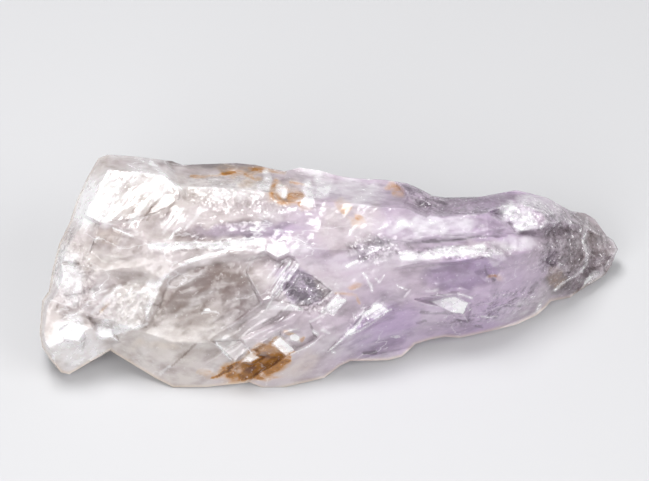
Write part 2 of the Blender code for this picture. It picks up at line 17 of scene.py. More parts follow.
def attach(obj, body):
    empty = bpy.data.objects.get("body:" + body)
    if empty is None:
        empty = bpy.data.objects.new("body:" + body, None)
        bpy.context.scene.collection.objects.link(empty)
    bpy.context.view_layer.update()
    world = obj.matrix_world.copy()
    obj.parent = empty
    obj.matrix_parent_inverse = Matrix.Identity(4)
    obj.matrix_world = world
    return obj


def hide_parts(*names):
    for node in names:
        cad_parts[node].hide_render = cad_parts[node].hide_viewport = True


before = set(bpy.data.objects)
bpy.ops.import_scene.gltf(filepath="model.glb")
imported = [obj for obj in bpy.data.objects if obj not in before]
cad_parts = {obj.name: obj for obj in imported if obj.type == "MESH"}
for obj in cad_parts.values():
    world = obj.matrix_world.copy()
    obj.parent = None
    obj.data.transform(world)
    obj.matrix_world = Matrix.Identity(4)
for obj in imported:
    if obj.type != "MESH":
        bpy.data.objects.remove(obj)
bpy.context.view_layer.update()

MM = 0.001
TINY = 1e-6  # lengths below this count as none
NAME = "amethyst_crystal"

# Where the face lies
SIGHT_POINT = (30.5, 15.9)  # s, t of the point the layout is sighted on
SIGHT_DISTANCE = 200.0  # the layout narrows towards an eye this far out from the face
PIXELS_PER_MM = 9.35  # across the face, in a picture IMAGE_WIDTH wide
IMAGE_WIDTH = 649
FACE_PLACE = (-1.28, 0.80, 11.24)  # where the sight point lies in the finished frame
FACE_TILT = math.radians(45)
UP = np.array((0, math.sin(FACE_TILT), math.cos(FACE_TILT)))  # up the face
AWAY = np.array((0, -math.cos(FACE_TILT), math.sin(FACE_TILT)))  # out of it

# Mesh
LAYOUT_PITCH = 0.15
INSETS = (0.05, 0.13)  # rows of points close inside the outline, where the sides are steep
CLEARANCE = 0.07  # between the last of those rows, or a drawn line, and the grid
ON_OUTLINE = 0.0001  # points closer to the outline than this lie on it
SHARP_ANGLE_DEG = 22  # edges that turn more than this look sharp

# Outline of the broad face, clockwise from the top of the broken base
OUTLINE = [
    (6.3, 24.7), (7.3, 25.1), (10.3, 24.9), (14.2, 24.4), (15.3, 24), (21, 24.2), (23.1, 24),
    (26.2, 23.3), (27.9, 23.7), (30, 23.4), (31.7, 22.9), (33.3, 22.6), (37, 22.4), (39.4, 22),
    (41, 21.3), (42, 20.7), (43.4, 20.5), (47.2, 20.6), (51, 21.3), (52.3, 21), (54.3, 20.5),
    (55.5, 19.8), (56.8, 19.1), (58.4, 18.8), (59.4, 18.2), (60.6, 16.5), (61.4, 15.9), (61.9, 15),
    (61.2, 13.3), (60.5, 12.2), (59.2, 11.4), (57.6, 10.4), (56.8, 9.8), (54.7, 9.4), (54.1, 8.7),
    (53.2, 7.9), (51, 6.9), (48.2, 6.2), (45, 5.5), (43.4, 5.6), (41.8, 5.3), (40.2, 4.8),
    (38.8, 3.5), (37.3, 3.1), (33.3, 3), (32.2, 2.5), (30.5, 1.2), (27.9, 0.6), (25.3, 0),
    (24, 0.1), (22.5, 0.7), (17.8, 0.2), (14.3, 0.2), (12.4, 1.2), (8.9, 3.3), (7.6, 4.1),
    (6, 3.2), (3.2, 1.6), (2.3, 1.8), (1.2, 3.1), (0.3, 4.5), (0, 6), (0.3, 9.5),
    (1, 10.5), (1.4, 12.8), (2.1, 15.5), (3.3, 18), (4, 20.2), (5.1, 22.6),
]

# Broad form: at each station s, a row of (t, out) points from the foot of the face to its top
FRONT_STATIONS = {
    0: [(1, 0.2), (4, 2.8), (14, 3.6), (20, 2), (25, -1.5)],
    8: [(3.5, -0.4), (7, 4.2), (17, 5.8), (22.4, 4), (25, -1.8)],
    14: [(0.2, -0.1), (5, 3.9), (15.6, 5.9), (21.6, 3.4), (24.4, -3)],
    20: [(0.2, -0.1), (5, 4), (15.4, 5.8), (21.4, 3), (24.2, -3.4)],
    27: [(0.5, -0.2), (5, 3.9), (15.3, 5.5), (21, 3), (23.6, -3.2)],
    34: [(3, -1.4), (7.5, 3.3), (14.8, 4.8), (20, 2.6), (22.5, -3)],
    41: [(5, -3), (9.5, 2.4), (14, 4.3), (18.8, 2.2), (21.3, -3)],
    48: [(6.2, -4.6), (10, 1.3), (14.2, 3.6), (18.8, 1.6), (21, -3.2)],
    54: [(8.7, -7.2), (11.5, -3), (14.6, -0.7), (18.6, -2), (20.5, -6.2)],
    58: [(10.6, -9.2), (12.5, -6.4), (15, -5), (17.3, -5.6), (18.8, -8.4)],
    62: [(13, -11.4), (14, -11), (15, -10.9), (15.5, -11), (15.8, -11.4)],
}
BACK_STATIONS = {
    0: [(1, 0.4), (8, 5.4), (16, 7.6), (25, 5)],
    8: [(3.5, 3), (8.5, 9), (18, 10.6), (25, 5.5)],
    13: [(0.2, 1.4), (8.8, 10.4), (18.6, 11), (24.4, 6)],
    28: [(0.8, 2.2), (9, 10.7), (17.6, 10.6), (23.4, 6.2)],
    38: [(3.6, 4.8), (9.4, 11), (16.5, 11.4), (22.2, 5.2)],
    46: [(5.6, 6.6), (10, 11.4), (16, 11.2), (20.7, 5.4)],
    53: [(8.2, 8.8), (11.5, 12), (16, 11.8), (20.5, 7.4)],
    62: [(13, 11.5), (14, 12.2), (15, 12.2), (15.8, 11.6)],
}
REST_DEPTH = 1.6  # how far the underside goes past the ground before it is cut flat there
# How steeply the two sides climb from the outline: (distance in, height)
FRONT_RIM = [(0, 0), (0.12, 0.9), (0.45, 1.9), (1.3, 3.5), (2.4, 6.5), (9, 16)]
BACK_RIM = [(0, 0), (0.12, 1), (0.5, 2.3), (1.5, 4), (4, 6.6), (9, 10.5)]
BASE_END = 7.0  # the broken base is blunter than the sides, back to this s
BASE_BLUNTNESS = 2.2  # how many times as steeply it climbs at its end
RIM_CREASE = (2, 0.5, 0)  # the creases by which the climb varies, within RIM_REACH of the outline
RIM_REACH = 4.0
LEAST_THICKNESS = 0.5

# Ledges: (line, drop, bevel, reach). The face drops on the right of the line as drawn, down a bevel, and
# climbs back over its reach.
LINE_END = 1.5  # ledges and grooves fade out over this length at their ends
BLADE = [(27.9, 8.2), (23.9, 6.1), (19.6, 4), (17.5, 2.5)]
FRONT_LEDGES = [
    # The block at the base's top corner, and the strip that falls away behind it
    ([(14.5, 19.6), (14.9, 21.3), (13.3, 23.1), (11.4, 25.3)], 0.6, 0.9, 5),
    ([(26.3, 23.4), (24.2, 23.1), (22, 22.5), (18.8, 22.3), (15, 22.3)], 0.8, 0.4, 3),
    # Folds below the block, and the rough patch under them
    ([(11.9, 13.3), (7.1, 12.7), (4.4, 14.6), (2.2, 15.2)], 0.3, 0.8, 1.6),
    ([(12.2, 10.6), (9.5, 10.4), (7.4, 10), (5.2, 8.6)], 0.5, 0.9, 2),
    # The lobe at the base's foot
    ([(7.6, 5), (5.6, 6.2), (3.6, 5.9), (0.9, 7.4)], 0.6, 1, 2.2),
    # The beaded ledge along the middle, and the long hollow below it
    ([(24.1, 15.7), (20.4, 15.3), (17.2, 15.1), (15.1, 15.1), (13.5, 14.7), (11.6, 14.7)], 0.45, 0.6, 2.2),
    ([(7.8, 4.9), (9.5, 6.2), (11.1, 7), (12.4, 9.5), (12.7, 10.8), (13.5, 12.3), (15.6, 13.4),
      (18.8, 14.2), (21.5, 14.5), (24.5, 14.6)], 0.5, 0.8, 5.5),
    # Blades that rise towards the tip, and the stained pocket between two of them
    (BLADE, 0.35, 0.4, 1.6),
    ([(19.6, 1.8), (21.8, 3.9), (23.9, 4.7), (26.3, 6), (28.4, 6.4)], 1, 0.35, 2.5),
    ([(30.8, 5.9), (27.9, 4.2), (26.3, 3.3), (23.9, 1.8), (22, 0.4)], 0.8, 0.35, 2),
    ([(38.5, 9), (35.2, 8.6), (32.8, 6), (30.5, 5.7)], 0.35, 0.5, 2),
    # The bright ledge along the tip half, and the steep face below it
    ([(51.6, 13.5), (49.3, 13.9), (47.2, 14.3), (42, 13.6), (38.8, 13.6)], 0.75, 1.3, 2.2),
    ([(37.6, 12.9), (42, 13.5), (47.2, 14.2), (50, 13.8)], 0.6, 0.35, 4),
    # The white block behind the tip, and the ridges across the tip
    ([(49.6, 20), (49.3, 18.8), (50.8, 16.9)], 0.5, 0.3, 2.5),
    ([(57.5, 11.4), (58.4, 13.3), (58.9, 14.9), (58.7, 16.5), (58.4, 18.8)], 0.5, 0.3, 2.5),
    ([(55.3, 9.6), (56.3, 11.1), (55.7, 12.7), (54.1, 13.6)], 0.4, 0.3, 2),
]
BACK_LEDGES = [
    ([(2.5, 9), (8, 11.4), (14, 12), (19, 12.6), (27, 14.8)], 1.2, 0.5, 6),
    ([(49, 12.6), (44, 13), (36, 14.6), (28, 17.4), (20, 17.8), (12, 20.4)], 1.1, 0.5, 5),
    ([(30, 4), (34, 8.6), (41, 10.4), (48, 14), (52, 17.6)], 1.2, 0.4, 5),
    ([(9.8, 23.6), (8.2, 17), (10, 12), (9.2, 6.5), (10.6, 3)], 1, 0.5, 4),
    ([(21, 22.5), (24.5, 16), (23.8, 10.5), (27, 4)], 0.9, 0.4, 4),
    ([(46.5, 19.6), (45, 15), (46.8, 9)], 0.8, 0.4, 4),
    ([(56.8, 17.6), (55, 14.6), (56.4, 11)], 0.6, 0.3, 2.5),
    ([(40, 20.4), (34, 20.8), (27, 21.8)], 0.8, 0.4, 2.5),
]

# Hollows with a sharp rim, and lumps where the depth is negative: (at, half size, depth, turn in degrees)
FRONT_SCOOPS = [
    ((7.4, 16), (4.4, 1.8), 0.7, -6),  # below the block
    ((10.4, 12), (3.2, 1.1), 0.4, -12),
    ((17.6, 9.4), (4.6, 2.6), 0.3, 14),  # in the long hollow
    ((26.8, 20.7), (2.2, 1.2), 1.1, -8),  # the stained pit near the top
    ((48.4, 12.5), (1.4, 1.2), 0.5, 20), ((36.8, 5.2), (4.5, 1.4), 0.3, 12),
    ((35.8, 15.2), (3.2, 1.8), 0.35, -12),  # the dark cut above the bright ledge
    ((53.9, 18.4), (4.4, 1.5), -0.6, -12),  # the white block behind the tip
]
BACK_SCOOPS = [
    ((14, 15.5), (4, 2.2), 0.8, 10), ((31, 12), (5, 2), 0.7, -18), ((40.5, 17), (3.6, 1.6), 0.6, 12),
    ((52, 13), (3, 1.8), 0.6, -30),
]

# Grooves: (line, depth, half width)
GROOVES = [
    ([(38.6, 15.5), (41.8, 15.7), (46.1, 16.1), (49.3, 16.6), (53.6, 16.8), (57.8, 17.2)], 0.4, 0.55),
    ([(15.4, 19), (20, 17.8), (25, 18), (30, 17.6)], 0.3, 0.9),
]

# Flat facets: (corners, height above the face, slope along s and t). A facet above the face is a plate, and
# one below it is a cut. Their walls are steep.
SHINE = (0.06, -0.28)  # the slope of the facets that shine under light from above
LOW_SHINE = (0.06, 0.35)  # the same low on the face, where it is steep
WALL_SLOPE = 1.4
FRONT_FACETS = [
    # The block at the base's top corner, and the lobe at its foot
    ([(6.9, 24.5), (11.6, 24.3), (13.2, 22.9), (14.9, 21.4), (14.9, 20.4), (12.6, 19), (9.5, 18.2),
      (6, 17.8), (3.9, 18.2), (5.2, 22)], -0.2, (0, -0.42)),
    ([(2.2, 6.3), (3.5, 7.2), (4.8, 6.2), (4.2, 5.2), (2.7, 5.4)], 0, SHINE),
    ([(6, 7), (7.6, 6.7), (7.9, 5.6), (6.5, 5.6)], 0, SHINE),
    ([(1, 9.8), (1.9, 13.6), (4.2, 13.4), (4.6, 10.4)], -0.1, (0.4, 0)),
    ([(2.8, 14.8), (4.6, 18.4), (6.4, 17.6), (5.2, 14.4)], -0.1, (0.3, -0.2)),
    # The middle: a raised plate, the lozenge on the ledge above it, and the dark cut beside it
    ([(22.2, 12.5), (22.6, 13.7), (24.7, 14.7), (27.1, 14), (27.6, 13.4), (24.9, 9.8), (23.9, 9.5)],
     0.05, (0, -0.1)),
    ([(24.4, 15.6), (26.2, 15.8), (26.7, 14.7), (25.5, 14.1), (24.3, 14.8)], 0.1, SHINE),
    ([(25, 9.6), (27.6, 12.7), (29.2, 12), (31.1, 10.5), (30.1, 9.5), (28.2, 8.9)],
     -0.25, (-0.15, 0.15)),
    # Blades and lozenges that rise towards the tip
    ([(18.8, 5), (21.5, 5.2), (22.6, 4), (21, 3.1)], 0.1, (0.1, 0.2)),
    ([(21.7, 3), (22.6, 3.9), (23.4, 3.4), (22.6, 2.9)], 0.05, LOW_SHINE),
    ([(24.9, 4.9), (25.8, 5.6), (27.2, 4.2), (26.4, 3.6)], 0.1, LOW_SHINE),
    ([(30.6, 8.4), (31.9, 10.1), (32.7, 9.4), (31.4, 7.9)], 0.1, LOW_SHINE),
    ([(32.9, 5.8), (33.5, 6.6), (35, 8.4), (36.5, 9.1), (37.3, 8.4), (35.4, 7.2)], 0.1, (0.1, -0.1)),
    ([(41.8, 9.4), (44.5, 9.9), (45.8, 9.2), (45.3, 8.1), (44, 8.3)], 0.05, LOW_SHINE),
    # A cut at the top edge
    ([(39.1, 21.6), (41.3, 21.1), (42.5, 20.2), (41.3, 19.4), (39.5, 20.2)], -0.2, (-0.2, -0.4)),
    # The white block behind the tip, and the tip's end
    ([(49.3, 18.8), (50.6, 19.6), (53.6, 19.9), (55.3, 19.1), (53.6, 17.2), (50.9, 16.9)], 0.1, (0.1, -0.6)),
    ([(58.7, 16.8), (61.3, 15.9), (61.8, 14.7), (60, 13.6), (58.9, 14.7)], -0.1, (-1, -0.3)),
    ([(55.6, 13), (56, 15.4), (57.9, 16.2), (58.2, 14.2), (57.2, 12.4)], -0.1, (-1.3, 0.35)),
    ([(58.8, 11.9), (58.9, 12.9), (60.4, 13.4), (60.3, 12.6)], 0, (-0.8, -0.6)),
]
BACK_FACETS = [
    ([(12, 19.6), (13.2, 23.6), (20.4, 23.4), (22.2, 20.6), (17, 18.6)], -0.7, (0.1, -0.8)),
    ([(28.6, 18.6), (30, 22.2), (36.6, 21.6), (38.6, 18.2), (33, 17)], -0.6, (-0.1, -0.9)),
    ([(35.4, 11.4), (37.2, 14.8), (41.6, 14.4), (40.6, 10.6)], -0.6, (0.2, 0.2)),
    ([(1.2, 8.6), (2.2, 14.6), (6, 16.2), (7, 9.4)], -0.5, (0.9, 0.1)),
    ([(3.4, 17.4), (5.4, 23.4), (9, 24.2), (8.6, 17)], -0.5, (0.6, -0.5)),
    ([(1.2, 3.6), (1.6, 7.6), (7.2, 8), (7, 4.6)], -0.4, (0.5, 0.6)),
    ([(22.6, 8.6), (24.2, 11.4), (29.4, 10.6), (28.6, 7.8)], -0.5, (-0.15, 0.6)),
    ([(11.4, 13.6), (12.6, 17.4), (18, 17), (17.2, 13.2)], -0.6, (0.15, -0.15)),
    ([(47.6, 13.4), (49.8, 17), (54.2, 15.8), (53, 12.2)], -0.5, (-0.2, -0.2)),
    ([(42, 16.6), (43, 19.4), (48, 19.2), (49, 16.8)], -0.5, (-0.1, -0.7)),
]

# Growth steps: (at, half size, pitch, rise, direction down in degrees)
STAIRS = [
    ((26.2, 11.6), (1.2, 2.5), 0.55, 0.25, -36), ((43, 12), (2.4, 1), 0.9, 0.1, -70),
]
STAIR_CREST = 0.7  # share of each step that climbs
STAIR_EDGE = 3.0  # how abruptly a patch of steps ends

# Low creases between flat facets, all over and longer one way than across: (pitch, height, direction of their
# length in degrees)
FRONT_CREASES = [(3.2, 0.16, 28), (1.5, 0.07, 52)]
BACK_CREASES = [(5.5, 0.5, 8), (2.4, 0.2, -35)]
CREASE_STRETCH = 0.5
CREASE_WANDER = 0.4  # how far they stray from an even grid, as a share of the pitch

# Natural irregularity: (pitch, height or reach)
SWELL = (5.5, 0.35)
FORM_WANDER = (6, 0.5)
LINE_WANDER = (1.7, 0.22)
SCOOP_WANDER = (3.1, 0.7)
SEEDS = {
    "front": 1, "back": 31, "front rim": 61, "back rim": 67, "lines": 4, "fine front": 150, "fine back": 170,
    "patches": 200, "growth": 400, "blots": 300, "strokes": 304, "edges": 310, "frost_and_highlight": 320, "shade": 360,
}

# Finer relief than the solid has: (pitch, height, direction in degrees)
FINE_CREASES = [(1.2, 0.08, 32), (0.6, 0.05, 48), (0.3, 0.025, 20)]
BACK_FINE_CREASES = [(1.2, 0.1, 12), (0.55, 0.045, -40), (0.3, 0.02, 15)]
FINE_REACH = 1.5  # it fades out over this distance to the outline
# Rough, sparkling patches on the front: (at, half size, turn in degrees, crease pitch, height)
ROUGH_PATCHES = [
    ((57.5, 14), (4.8, 4.2), 0, 0.9, 0.3),  # the tip
    ((35.6, 15), (3.2, 1.8), 0, 0.6, 0.1),  # the dark cut above the bright ledge
    ((17.8, 15.4), (6.2, 0.6), 2, 0.5, 0.12),  # the beaded ledge
    ((53.6, 18.4), (5, 1.8), -8, 0.5, 0.14),  # the white block behind the tip
    ((22.5, 20.8), (9.5, 2.6), -4, 0.45, 0.05),  # the sugary top
    ((9.5, 8.4), (4.2, 2.6), 25, 0.5, 0.06),  # the frosty patch
    ((45, 14.6), (6.5, 0.9), 0, 0.6, 0.12),  # the bright ledge
    ((48.5, 8.8), (6.5, 1.6), 16, 0.5, 0.1),
    ((28.6, 10.2), (3.6, 2.2), -30, 0.6, 0.14),  # the dark cut in the middle
    ((35, 7.8), (2.6, 1.1), 28, 0.5, 0.1),
    ((3.4, 13), (2.6, 5.5), 20, 0.5, 0.08),  # the broken base's edge
    ((46, 19.6), (6.5, 1.3), 0, 0.5, 0.08),  # along the top edge of the tip half
    ((41, 20.6), (2.2, 1), -25, 0.5, 0.12),
]
FULL_SPARKLE = 0.16  # the height of the creases from which a patch sparkles fully
# Growth lines on the front: (at, half size, direction in degrees, pitch, rise)
GROWTH_LINES = [
    ((9.5, 20.4), (5.6, 3.6), 52, 0.55, 0.11),  # the white block
    ((9.4, 9), (4, 2.6), 50, 0.5, 0.1),  # the frosty patch
    ((5.6, 12.6), (1.6, 3), 20, 0.5, 0.06),
    ((24, 7.6), (7.5, 2.6), 33, 0.85, 0.16),  # the blades
    ((35, 7.8), (3.2, 1.4), 42, 0.5, 0.1), ((15.5, 18), (5, 2), 52, 0.5, 0.05),
    ((45, 16.6), (9, 2.2), 3, 0.7, 0.12),  # along the tip half
    ((46, 11.5), (8, 3), 12, 1.2, 0.08),
    ((17.5, 9), (5.5, 3.5), 8, 1.1, 0.08),  # across the long hollow
]
# Where the fine creases are low: (at, half size, turn in degrees, share of them that goes)
SMOOTH_BLOTS = [
    ((18.8, 9.6), (6.6, 4.2), 4, 0.8),  # the long hollow
    ((15, 4.4), (6.5, 3.2), -8, 0.6),
    ((3.8, 5.2), (3.8, 4), 0, 0.8),  # the lobe
    ((8.6, 15.4), (4.4, 1.9), -6, 0.7), ((44, 12), (5.5, 2), 6, 0.7), ((30, 3), (5.5, 2.6), 12, 0.8),
    ((37.4, 6.4), (4, 2.4), 30, 0.6), ((43, 7), (5, 1.6), 8, 0.5), ((31, 14.8), (3.2, 2.6), 0, 0.5),
    ((42, 17.2), (5, 1.2), 0, 0.5), ((34, 20.8), (4.5, 1.8), -8, 0.3), ((51, 14.4), (3, 2.6), 0, 0.5),
]
MOST_SMOOTH = 0.9  # the most of the fine creases that goes, where such blots lie over each other
PATCH_FULLNESS = 2.0  # how far the patches of finer relief keep their strength towards their edges
LINE_CREST = 0.75  # share of each growth line that climbs
LINE_SWAY = (1.5, 0.5)  # how growth lines sway: pitch, and reach as a share of the lines' own pitch
# Thin bright edges, as low ledges: each drops on the right of its line as drawn
EDGES = [
    [(9.7, 16.6), (8.9, 17), (8.1, 17.4)],
    [(24.5, 14.9), (21.5, 14.8), (18.8, 14.5), (16.8, 13.9), (15.4, 13.4), (14, 12.7)],
    [(13.6, 12.1), (12.6, 10.9), (12.3, 9.6), (11.6, 8.2), (11.1, 7), (9.5, 6.2), (7.9, 6)],
    [(8.6, 11.1), (7.4, 9.8), (5.6, 8.1)], BLADE,
    [(22.6, 13.7), (25, 14.2), (27.4, 13.5)],
    [(28.5, 6.4), (26.3, 6), (23.9, 4.9), (21.8, 4.1), (19.6, 1.9)], [(34.6, 12.3), (35.6, 10.4)],
    [(37, 12.3), (35.6, 10.4)], [(37, 8.6), (35.2, 7.4), (33.2, 5.9)], [(40.4, 11.1), (39.2, 9.6), (38, 9)],
    [(51.4, 13.4), (49.6, 12.6), (48.8, 11.3), (47.7, 11.9), (47.4, 12.8)],
    [(58.5, 12.2), (58.9, 14.9), (58.7, 16.5), (58.5, 18.6)], [(57.5, 11.6), (56.3, 12.6), (54.1, 13.6)],
    [(46.5, 10.2), (45, 10.6), (42.4, 10)], [(33.2, 20.5), (31.6, 21.4), (29.6, 20.8), (28.4, 19.9)],
    [(26.6, 21.9), (24.8, 21), (22.6, 20.6), (20.4, 21.4)], [(18.6, 21.2), (16.8, 20.2), (15.2, 20.8)],
    [(20.2, 18.8), (18.2, 18), (16.4, 17.9)], [(41.8, 18.4), (40.2, 19.4), (38.2, 19.9)],
    [(30.6, 14.9), (28.8, 15.5), (27.3, 15.2)], [(31.8, 9.9), (30.7, 8.5), (30.2, 7.3)],
    [(45.6, 7.9), (47.8, 8.4), (50.6, 9.6), (53.5, 10.4)],
]
EDGE = (0.14, 0.2, 0.9)  # drop, bevel, reach

# How lilac the stone is along its length: (s, amount)
LILAC_ALONG = [(14, 0.02), (24, 0.2), (33, 0.6), (48, 0.8), (56, 0.5), (62, 0.2)]
# Paint on the front. Blots are (at, half size, turn in degrees, strength), and strokes are (line, half width,
# strength).
LILAC_BLOTS = [
    ((22, 16.9), (7, 1), 2, 0.35), ((27.6, 10.9), (3.2, 1.9), -30, 0.45), ((36.5, 6.5), (5, 2.4), 25, 0.35),
    ((45, 12.2), (4.5, 1.9), 5, 0.3), ((33, 17.5), (4.5, 3.4), 20, -0.35), ((47.5, 15), (4, 1.2), 0, -0.3),
]
SHADE_BLOTS = [
    ((18.6, 9.8), (6.6, 4), 4, 1),  # grey tone and painted shade in the long hollow
    ((14.4, 9.2), (1.6, 2.2), 0, 0.2), ((16, 5.6), (7, 2.4), -6, 0.22),
    ((28.6, 10.6), (3.1, 1.6), -26, 0.55),  # the dark cut in the middle
    ((29.4, 10.9), (1.8, 0.8), -26, 0.25), ((26.3, 8.2), (2.6, 0.8), 32, 0.35),
    ((40.6, 12.2), (2.2, 1.2), 0, 0.15),  # under the bright ledge
    ((45.2, 13.2), (2.6, 0.7), 12, 0.15),
    ((36.8, 15.2), (2.2, 1.4), -20, 0.25),  # the dark cut above it
    ((34.6, 14.8), (1.8, 1.6), 0, 0.25), ((34.5, 16.6), (1.8, 1), -20, 0.25),
    ((31, 14.6), (3.6, 2.6), 0, 0.12), ((24, 19.2), (6.5, 1.6), 0, 0.12), ((36.2, 7), (3.6, 1.2), 36, 0.2),
    ((32.8, 8.4), (1.8, 1.2), 30, 0.3),
    ((8.8, 15.6), (4.4, 1.9), -8, 0.28),  # painted shade in the hollow below the block
    # More painted shade near the hollow, and a painted shadow band above the beaded ledge
    ((9.6, 12), (2.2, 1), -8, 0.22), ((20.5, 17), (8.8, 1.1), 2, 0.5), ((13.6, 16.6), (2.8, 1.1), -8, 0.3),
    ((12.6, 18.6), (2.8, 1.4), 48, 0.25),  # the streaked foot of the block
    ((9.4, 24.1), (3.6, 0.9), -2, 0.12),
    ((56.6, 14.6), (3.4, 2.2), 10, 0.35),  # the tip
    ((58.6, 13), (1.2, 1.6), 0, 0.35), ((55.3, 11.4), (1.2, 1.4), 0, 0.55), ((60, 13.8), (1.4, 1.4), 0, 0.3),
    ((57, 14.2), (1.3, 1.6), -20, 0.3), ((59.5, 15.4), (0.5, 1.4), 12, 0.3),
    ((59.4, 16.2), (1, 1.2), 0, 0.2), ((54.2, 16.8), (4.2, 0.7), 0, 0.4), ((47.5, 17.6), (3, 0.9), -4, 0.3),
    ((20, 23.9), (8, 0.9), 0, 0.4),  # the top edge
    ((12.6, 24.3), (2.4, 0.7), -8, 0.2), ((33.5, 22.9), (3, 0.5), -6, 0.3), ((45, 20), (4.6, 1), 2, 0.2),
]
SHADE_STROKES = [
    # The long hollow, the lobe and the frosty patch, with painted shadows along the lobe's ridge and above
    # the frosty patch
    ([(16.9, 12.9), (18.2, 12.8), (20.2, 12.5)], 0.16, 0.9), ([(18.2, 10.9), (19.9, 10.4)], 0.16, 0.4),
    ([(12, 9.2), (12.6, 9)], 0.15, 0.5), ([(2, 8.9), (3.6, 8.4), (5.6, 7.6)], 0.35, 0.4),
    ([(1.3, 6.2), (3.2, 4.9)], 0.25, 0.25), ([(5, 10.7), (6.8, 10.7), (9.2, 11.4)], 0.25, 0.3),
    ([(6.1, 7.9), (7.2, 8.9), (8.3, 10.2)], 0.16, 0.6), ([(13.2, 1.7), (15.2, 3.4), (16.8, 4.9)], 0.12, 0.5),
    ([(10.1, 6.9), (11.4, 6.7)], 0.15, 0.5), ([(12.9, 9), (13.3, 7.8), (12.4, 6.8)], 0.3, 0.3),
    # The blades, the middle and the stained pocket
    ([(24, 7), (25.4, 7.9), (26.6, 8.8)], 0.14, 0.6), ([(25, 9.6), (26.6, 9.2), (28.6, 8.4)], 0.16, 0.5),
    ([(26.9, 10.1), (27.4, 10.9)], 0.2, 0.6), ([(29.3, 11.5), (30.1, 11.4)], 0.15, 0.7),
    ([(25.2, 10.8), (27, 13.6)], 0.1, 0.6), ([(24.7, 11.6), (26.1, 13.6)], 0.1, 0.4),
    ([(21.3, 3.3), (23.2, 4.2), (25.4, 5.6)], 0.1, 0.7), ([(25.8, 5.6), (27, 4.9)], 0.08, 0.6),
    ([(29, 7), (29.3, 6), (29.7, 5.6)], 0.12, 0.7),
    # The tip half and the tip, with a painted shadow under the white lozenge
    ([(40.8, 8.2), (42.6, 8.1), (44.2, 8.2), (45.6, 8.7)], 0.25, 0.7),
    ([(42, 10), (43.6, 10.2), (44.8, 10.4)], 0.12, 0.5), ([(40.4, 7.2), (41.4, 7.3)], 0.2, 0.6),
    ([(34.7, 3.9), (36, 4)], 0.25, 0.7), ([(41, 15.8), (44, 15.9), (47, 16.3), (50, 16.4)], 0.14, 0.6),
    ([(43, 16.4), (46.5, 16.6)], 0.12, 0.4), ([(50.2, 17.9), (51, 17.1), (53, 16.6)], 0.2, 0.6),
    ([(52.4, 10.4), (53.2, 11.2)], 0.35, 0.6), ([(49.8, 8.8), (51.4, 9), (53.6, 9.2)], 0.22, 0.5),
    ([(46.6, 6.7), (47.4, 6.6)], 0.15, 0.6), ([(47.6, 13.2), (47.9, 12.3), (48.6, 11.7)], 0.14, 0.4),
    ([(58.9, 12.8), (59.4, 14), (59, 15.5), (58.9, 17)], 0.25, 0.6), ([(35, 14), (34.2, 13.9)], 0.25, 0.7),
    ([(36, 16), (36.7, 15.6)], 0.25, 0.6), ([(38.2, 14.8), (38.7, 14)], 0.2, 0.6),
    ([(38.9, 21.8), (39.6, 21.2)], 0.25, 0.4), ([(43, 20), (43.6, 19.8)], 0.25, 0.5),
    ([(2.8, 2.8), (3.1, 2.5)], 0.3, 0.35), ([(30.9, 20.9), (32.2, 20.7)], 0.12, 0.4),
]
CLEAR_BLOTS = [
    ((60, 14), (8, 7.5), 0, 0.5), ((20, 24.2), (8, 1), 0, 0.6), ((46, 20), (6.5, 1.5), 4, 0.4),
    ((40.2, 20.9), (2, 1), -25, 0.3), ((35.6, 15), (3.4, 1.8), 0, 0.3), ((28.3, 10.8), (3.2, 1.9), -30, 0.3),
    ((45, 12), (4.6, 2), 5, 0.35), ((24, 2.6), (4.5, 1.6), 28, 0.3),
]
# White frost mixed with painted highlights on the bright block, the lobe's facets, the base's edge and the
# sugary top, and small painted glints
FROST_AND_HIGHLIGHT_BLOTS = [
    ((6.2, 20.4), (3.8, 3.4), 15, 0.6),  # the white block
    ((11.8, 22.4), (3.8, 1.9), -35, 0.35), ((4.6, 19.6), (2, 3.2), -20, 0.7),
    ((3, 12.6), (1.8, 4), 14, 0.7),  # the broken base's edge
    ((3.2, 6.4), (2.2, 1.5), 35, 0.8),  # the lobe
    ((6.8, 6.4), (1.2, 0.9), -30, 0.8), ((3.8, 4.4), (3.8, 3), 10, 0.7),
    ((9.4, 8.9), (3.8, 2.4), 45, 0.35),  # the frosty patch
    ((12.3, 11.1), (0.9, 1.2), -30, 0.7), ((6.4, 10.4), (1.4, 0.8), 20, 0.4),
    ((8.8, 6.7), (1.8, 0.6), 8, 0.5),
    ((19.5, 21.4), (5, 1.4), -4, 0.4),  # the sugary top
    ((24.2, 22), (0.8, 1.5), 0, 0.8), ((26.1, 21.4), (0.6, 1), 15, 0.9), ((28.7, 20.8), (0.8, 1.5), 5, 0.9),
    ((30.4, 21.6), (1.2, 1.3), 0, 0.6), ((29.4, 23.2), (1.8, 0.6), -6, 0.5),
    ((34, 21), (3.6, 1.6), -10, 0.35), ((42.5, 17.6), (5.5, 1.1), 0, 0.5),
    ((38.4, 17.2), (1.6, 0.7), 20, 0.4), ((27.8, 15.2), (1.4, 0.8), 0, 0.4),
    ((20.6, 4.3), (2, 1), -20, 0.35),
    ((23.8, 2.3), (3.4, 1.2), 25, -0.5),  # none in the stained pocket
    ((35.9, 8.3), (1.8, 0.7), 20, 0.6), ((49, 13.9), (1.6, 0.9), -10, 0.5), ((50.6, 15.6), (3, 1), 0, 0.35),
    ((51.2, 18.4), (2.4, 1.3), -30, 0.7),  # the white block behind the tip
    ((53.6, 19.7), (3.2, 0.8), -12, 0.5), ((56, 18.2), (2.4, 0.8), -16, 0.4),
    ((59.2, 12), (1.8, 0.6), 12, 0.7), ((53.5, 8.8), (0.6, 0.6), 0, 0.7), ((18, 8.3), (0.5, 0.3), 0, 1),
    ((31.6, 3.9), (0.3, 0.4), 0, 0.9), ((27.6, 5.6), (0.5, 0.5), 0, 1),
]
FACET_HIGHLIGHT = 0.8  # painted highlight on the facets that shine
